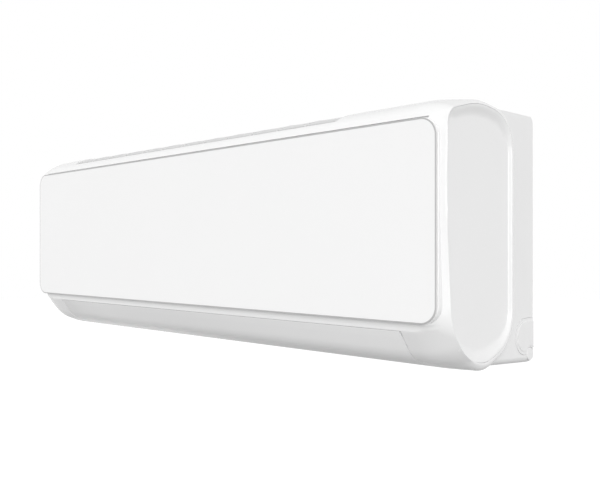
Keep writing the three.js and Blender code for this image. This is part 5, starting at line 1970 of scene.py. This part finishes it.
@dataclass
class Studio:
    """Camera, lamp, floor and white surroundings."""

    camera_place: Place = (0.8492, -0.8509, -0.0165)
    view: Place = (-0.6937, 0.7202, 0.0)
    lens: float = 43.44
    horizon_shift: float = 0.0022
    lamp_place: Place = (8.6, -11.4, 2.1)
    lamp_target: Place = (0.1, -0.15, 0.0)
    lamp_size: float = 5.4
    lamp_power: float = 795.0
    floor_z: float = -1.1
    floor_size: float = 30.0
    floor_grey: float = 0.37
    floor_glow: float = 0.72
    # Glow that reflections see on the floor, full at this reach and fading to none under the unit: a painted
    # pool of shade.
    reflected_glow_past_painted_shade: float = 0.62
    painted_shade_reach: float = 4.5

    def camera(self) -> None:
        """Places the camera at the photograph's angle."""
        data = bpy.data.cameras.new("camera")
        for name, value in (("lens", self.lens), ("sensor_width", 36.0), ("sensor_fit", "HORIZONTAL"),
                            ("shift_y", self.horizon_shift), ("clip_start", 0.02), ("clip_end", 60.0)):
            setattr(data, name, value)
        camera = link("camera", data)
        camera.location = self.camera_place
        camera.rotation_euler = Vector(self.view).to_track_quat("-Z", "Y").to_euler()
        bpy.context.scene.camera = camera

    def lamp(self) -> None:
        """Adds one large soft lamp, far in front of the unit."""
        data = bpy.data.lights.new("front_light", "AREA")
        data.shape = "RECTANGLE"
        data.size = data.size_y = self.lamp_size
        data.energy = self.lamp_power
        lamp = link("front_light", data)
        lamp.location = self.lamp_place
        towards = Vector(self.lamp_target) - Vector(self.lamp_place)
        lamp.rotation_euler = towards.to_track_quat("-Z", "Y").to_euler()
        lamp.visible_camera = False

    def surroundings(self) -> None:
        """Sets a pale world that the camera and reflections see as white."""
        world = bpy.data.worlds.new("surroundings")
        bpy.context.scene.world = world
        world.use_nodes = True
        tree = world.node_tree
        tree.nodes.clear()
        out = add(tree, "OutputWorld")
        light, seen, mirrored = (add(tree, "Background", color=(1, 1, 1, 1), strength=1.0) for _ in range(3))
        split = add(tree, "SeparateXYZ")
        wire(tree, (add(tree, "TexCoord").outputs["Generated"], split.inputs[0]))
        for background, low, high, level_at, level_above in ((mirrored, 0.12, 0.6, 1.0, 0.62),
                                                             (light, 0.25, 0.95, 0.985, 0.80)):
            dim = add(tree, "MapRange", from_min=low, from_max=high, to_min=level_at, to_max=level_above)
            wire(tree, (split.outputs["Z"], dim.inputs["Value"]),
                 (dim.outputs["Result"], background.inputs["Strength"]))
        path = add(tree, "LightPath")
        either = add(tree, "Math", "MAXIMUM")
        mix, last = add(tree, "MixShader"), add(tree, "MixShader")
        wire(tree, (path.outputs["Is Camera Ray"], either.inputs[0]),
             (path.outputs["Is Transmission Ray"], either.inputs[1]),
             (path.outputs["Is Glossy Ray"], mix.inputs["Fac"]), (light.outputs[0], mix.inputs[1]),
             (mirrored.outputs[0], mix.inputs[2]), (either.outputs[0], last.inputs["Fac"]),
             (mix.outputs[0], last.inputs[1]), (seen.outputs[0], last.inputs[2]),
             (last.outputs[0], out.inputs["Surface"]))

    def floor(self) -> None:
        """Lays a pale floor that keeps the unit's soft shadow; its glow in reflections fades to a painted
        shade under the unit.
        """
        deselect()
        bpy.ops.mesh.primitive_plane_add(size=self.floor_size, location=(0, 0, self.floor_z))
        floor = bpy.context.object
        floor.name = "floor"
        made = bpy.data.materials.new("Pale floor")
        made.use_nodes = True
        tree = made.node_tree
        shader = tree.nodes["Principled BSDF"]
        shader.inputs["Base Color"].default_value = (*(self.floor_grey,) * 3, 1)
        shader.inputs["Roughness"].default_value = 0.9
        glow, reflected_glow_past_painted_shade = add(tree, "Emission", strength=self.floor_glow), add(tree, "Emission")
        path = add(tree, "LightPath")
        away = add(tree, "VectorMath", "LENGTH")
        # The floor's glow in reflections ramps up with distance from the unit, leaving a painted pool of
        # shade beneath it.
        far = add(tree, "MapRange", from_min=0.0, from_max=self.painted_shade_reach, to_max=self.reflected_glow_past_painted_shade)
        total, mirrored = add(tree, "AddShader"), add(tree, "AddShader")
        first, last = add(tree, "MixShader"), add(tree, "MixShader")
        wire(tree, (add(tree, "TexCoord").outputs["Object"], away.inputs[0]),
             (away.outputs["Value"], far.inputs["Value"]),
             (far.outputs["Result"], reflected_glow_past_painted_shade.inputs["Strength"]),
             (shader.outputs[0], total.inputs[0]), (glow.outputs[0], total.inputs[1]),
             (shader.outputs[0], mirrored.inputs[0]), (reflected_glow_past_painted_shade.outputs[0], mirrored.inputs[1]),
             (path.outputs["Is Glossy Ray"], first.inputs["Fac"]), (shader.outputs[0], first.inputs[1]),
             (mirrored.outputs[0], first.inputs[2]), (path.outputs["Is Camera Ray"], last.inputs["Fac"]),
             (first.outputs[0], last.inputs[1]), (total.outputs[0], last.inputs[2]),
             (last.outputs[0], tree.nodes["Material Output"].inputs["Surface"]))
        floor.data.materials.append(made)

    def build(self) -> None:
        """Sets the whole studio."""
        bpy.context.scene.view_settings.view_transform = "Standard"
        self.camera()
        self.surroundings()
        self.floor()
        self.lamp()
        LOG.info("studio set")


def main() -> None:
    """Builds every piece in order."""
    logging.basicConfig(level=logging.INFO, format="%(name)s %(message)s")
    FrontCasing().build()
    EndCap(-1).build()
    EndCap(1).build()
    FrontPanel().build()
    Louver().build()
    RearChassis().build()
    IntakeGrille().build()
    CrossFlowFan().build()
    Evaporator().build()
    AirFilter("left", -328, -25).build()
    AirFilter("right", -19, 283).build()
    ControlUnit().build()
    Vanes().build()
    MountingPlate().build()
    SmallParts().build()
    KeptNodes().build()
    Studio().build()


if __name__ == "__main__":
    main()
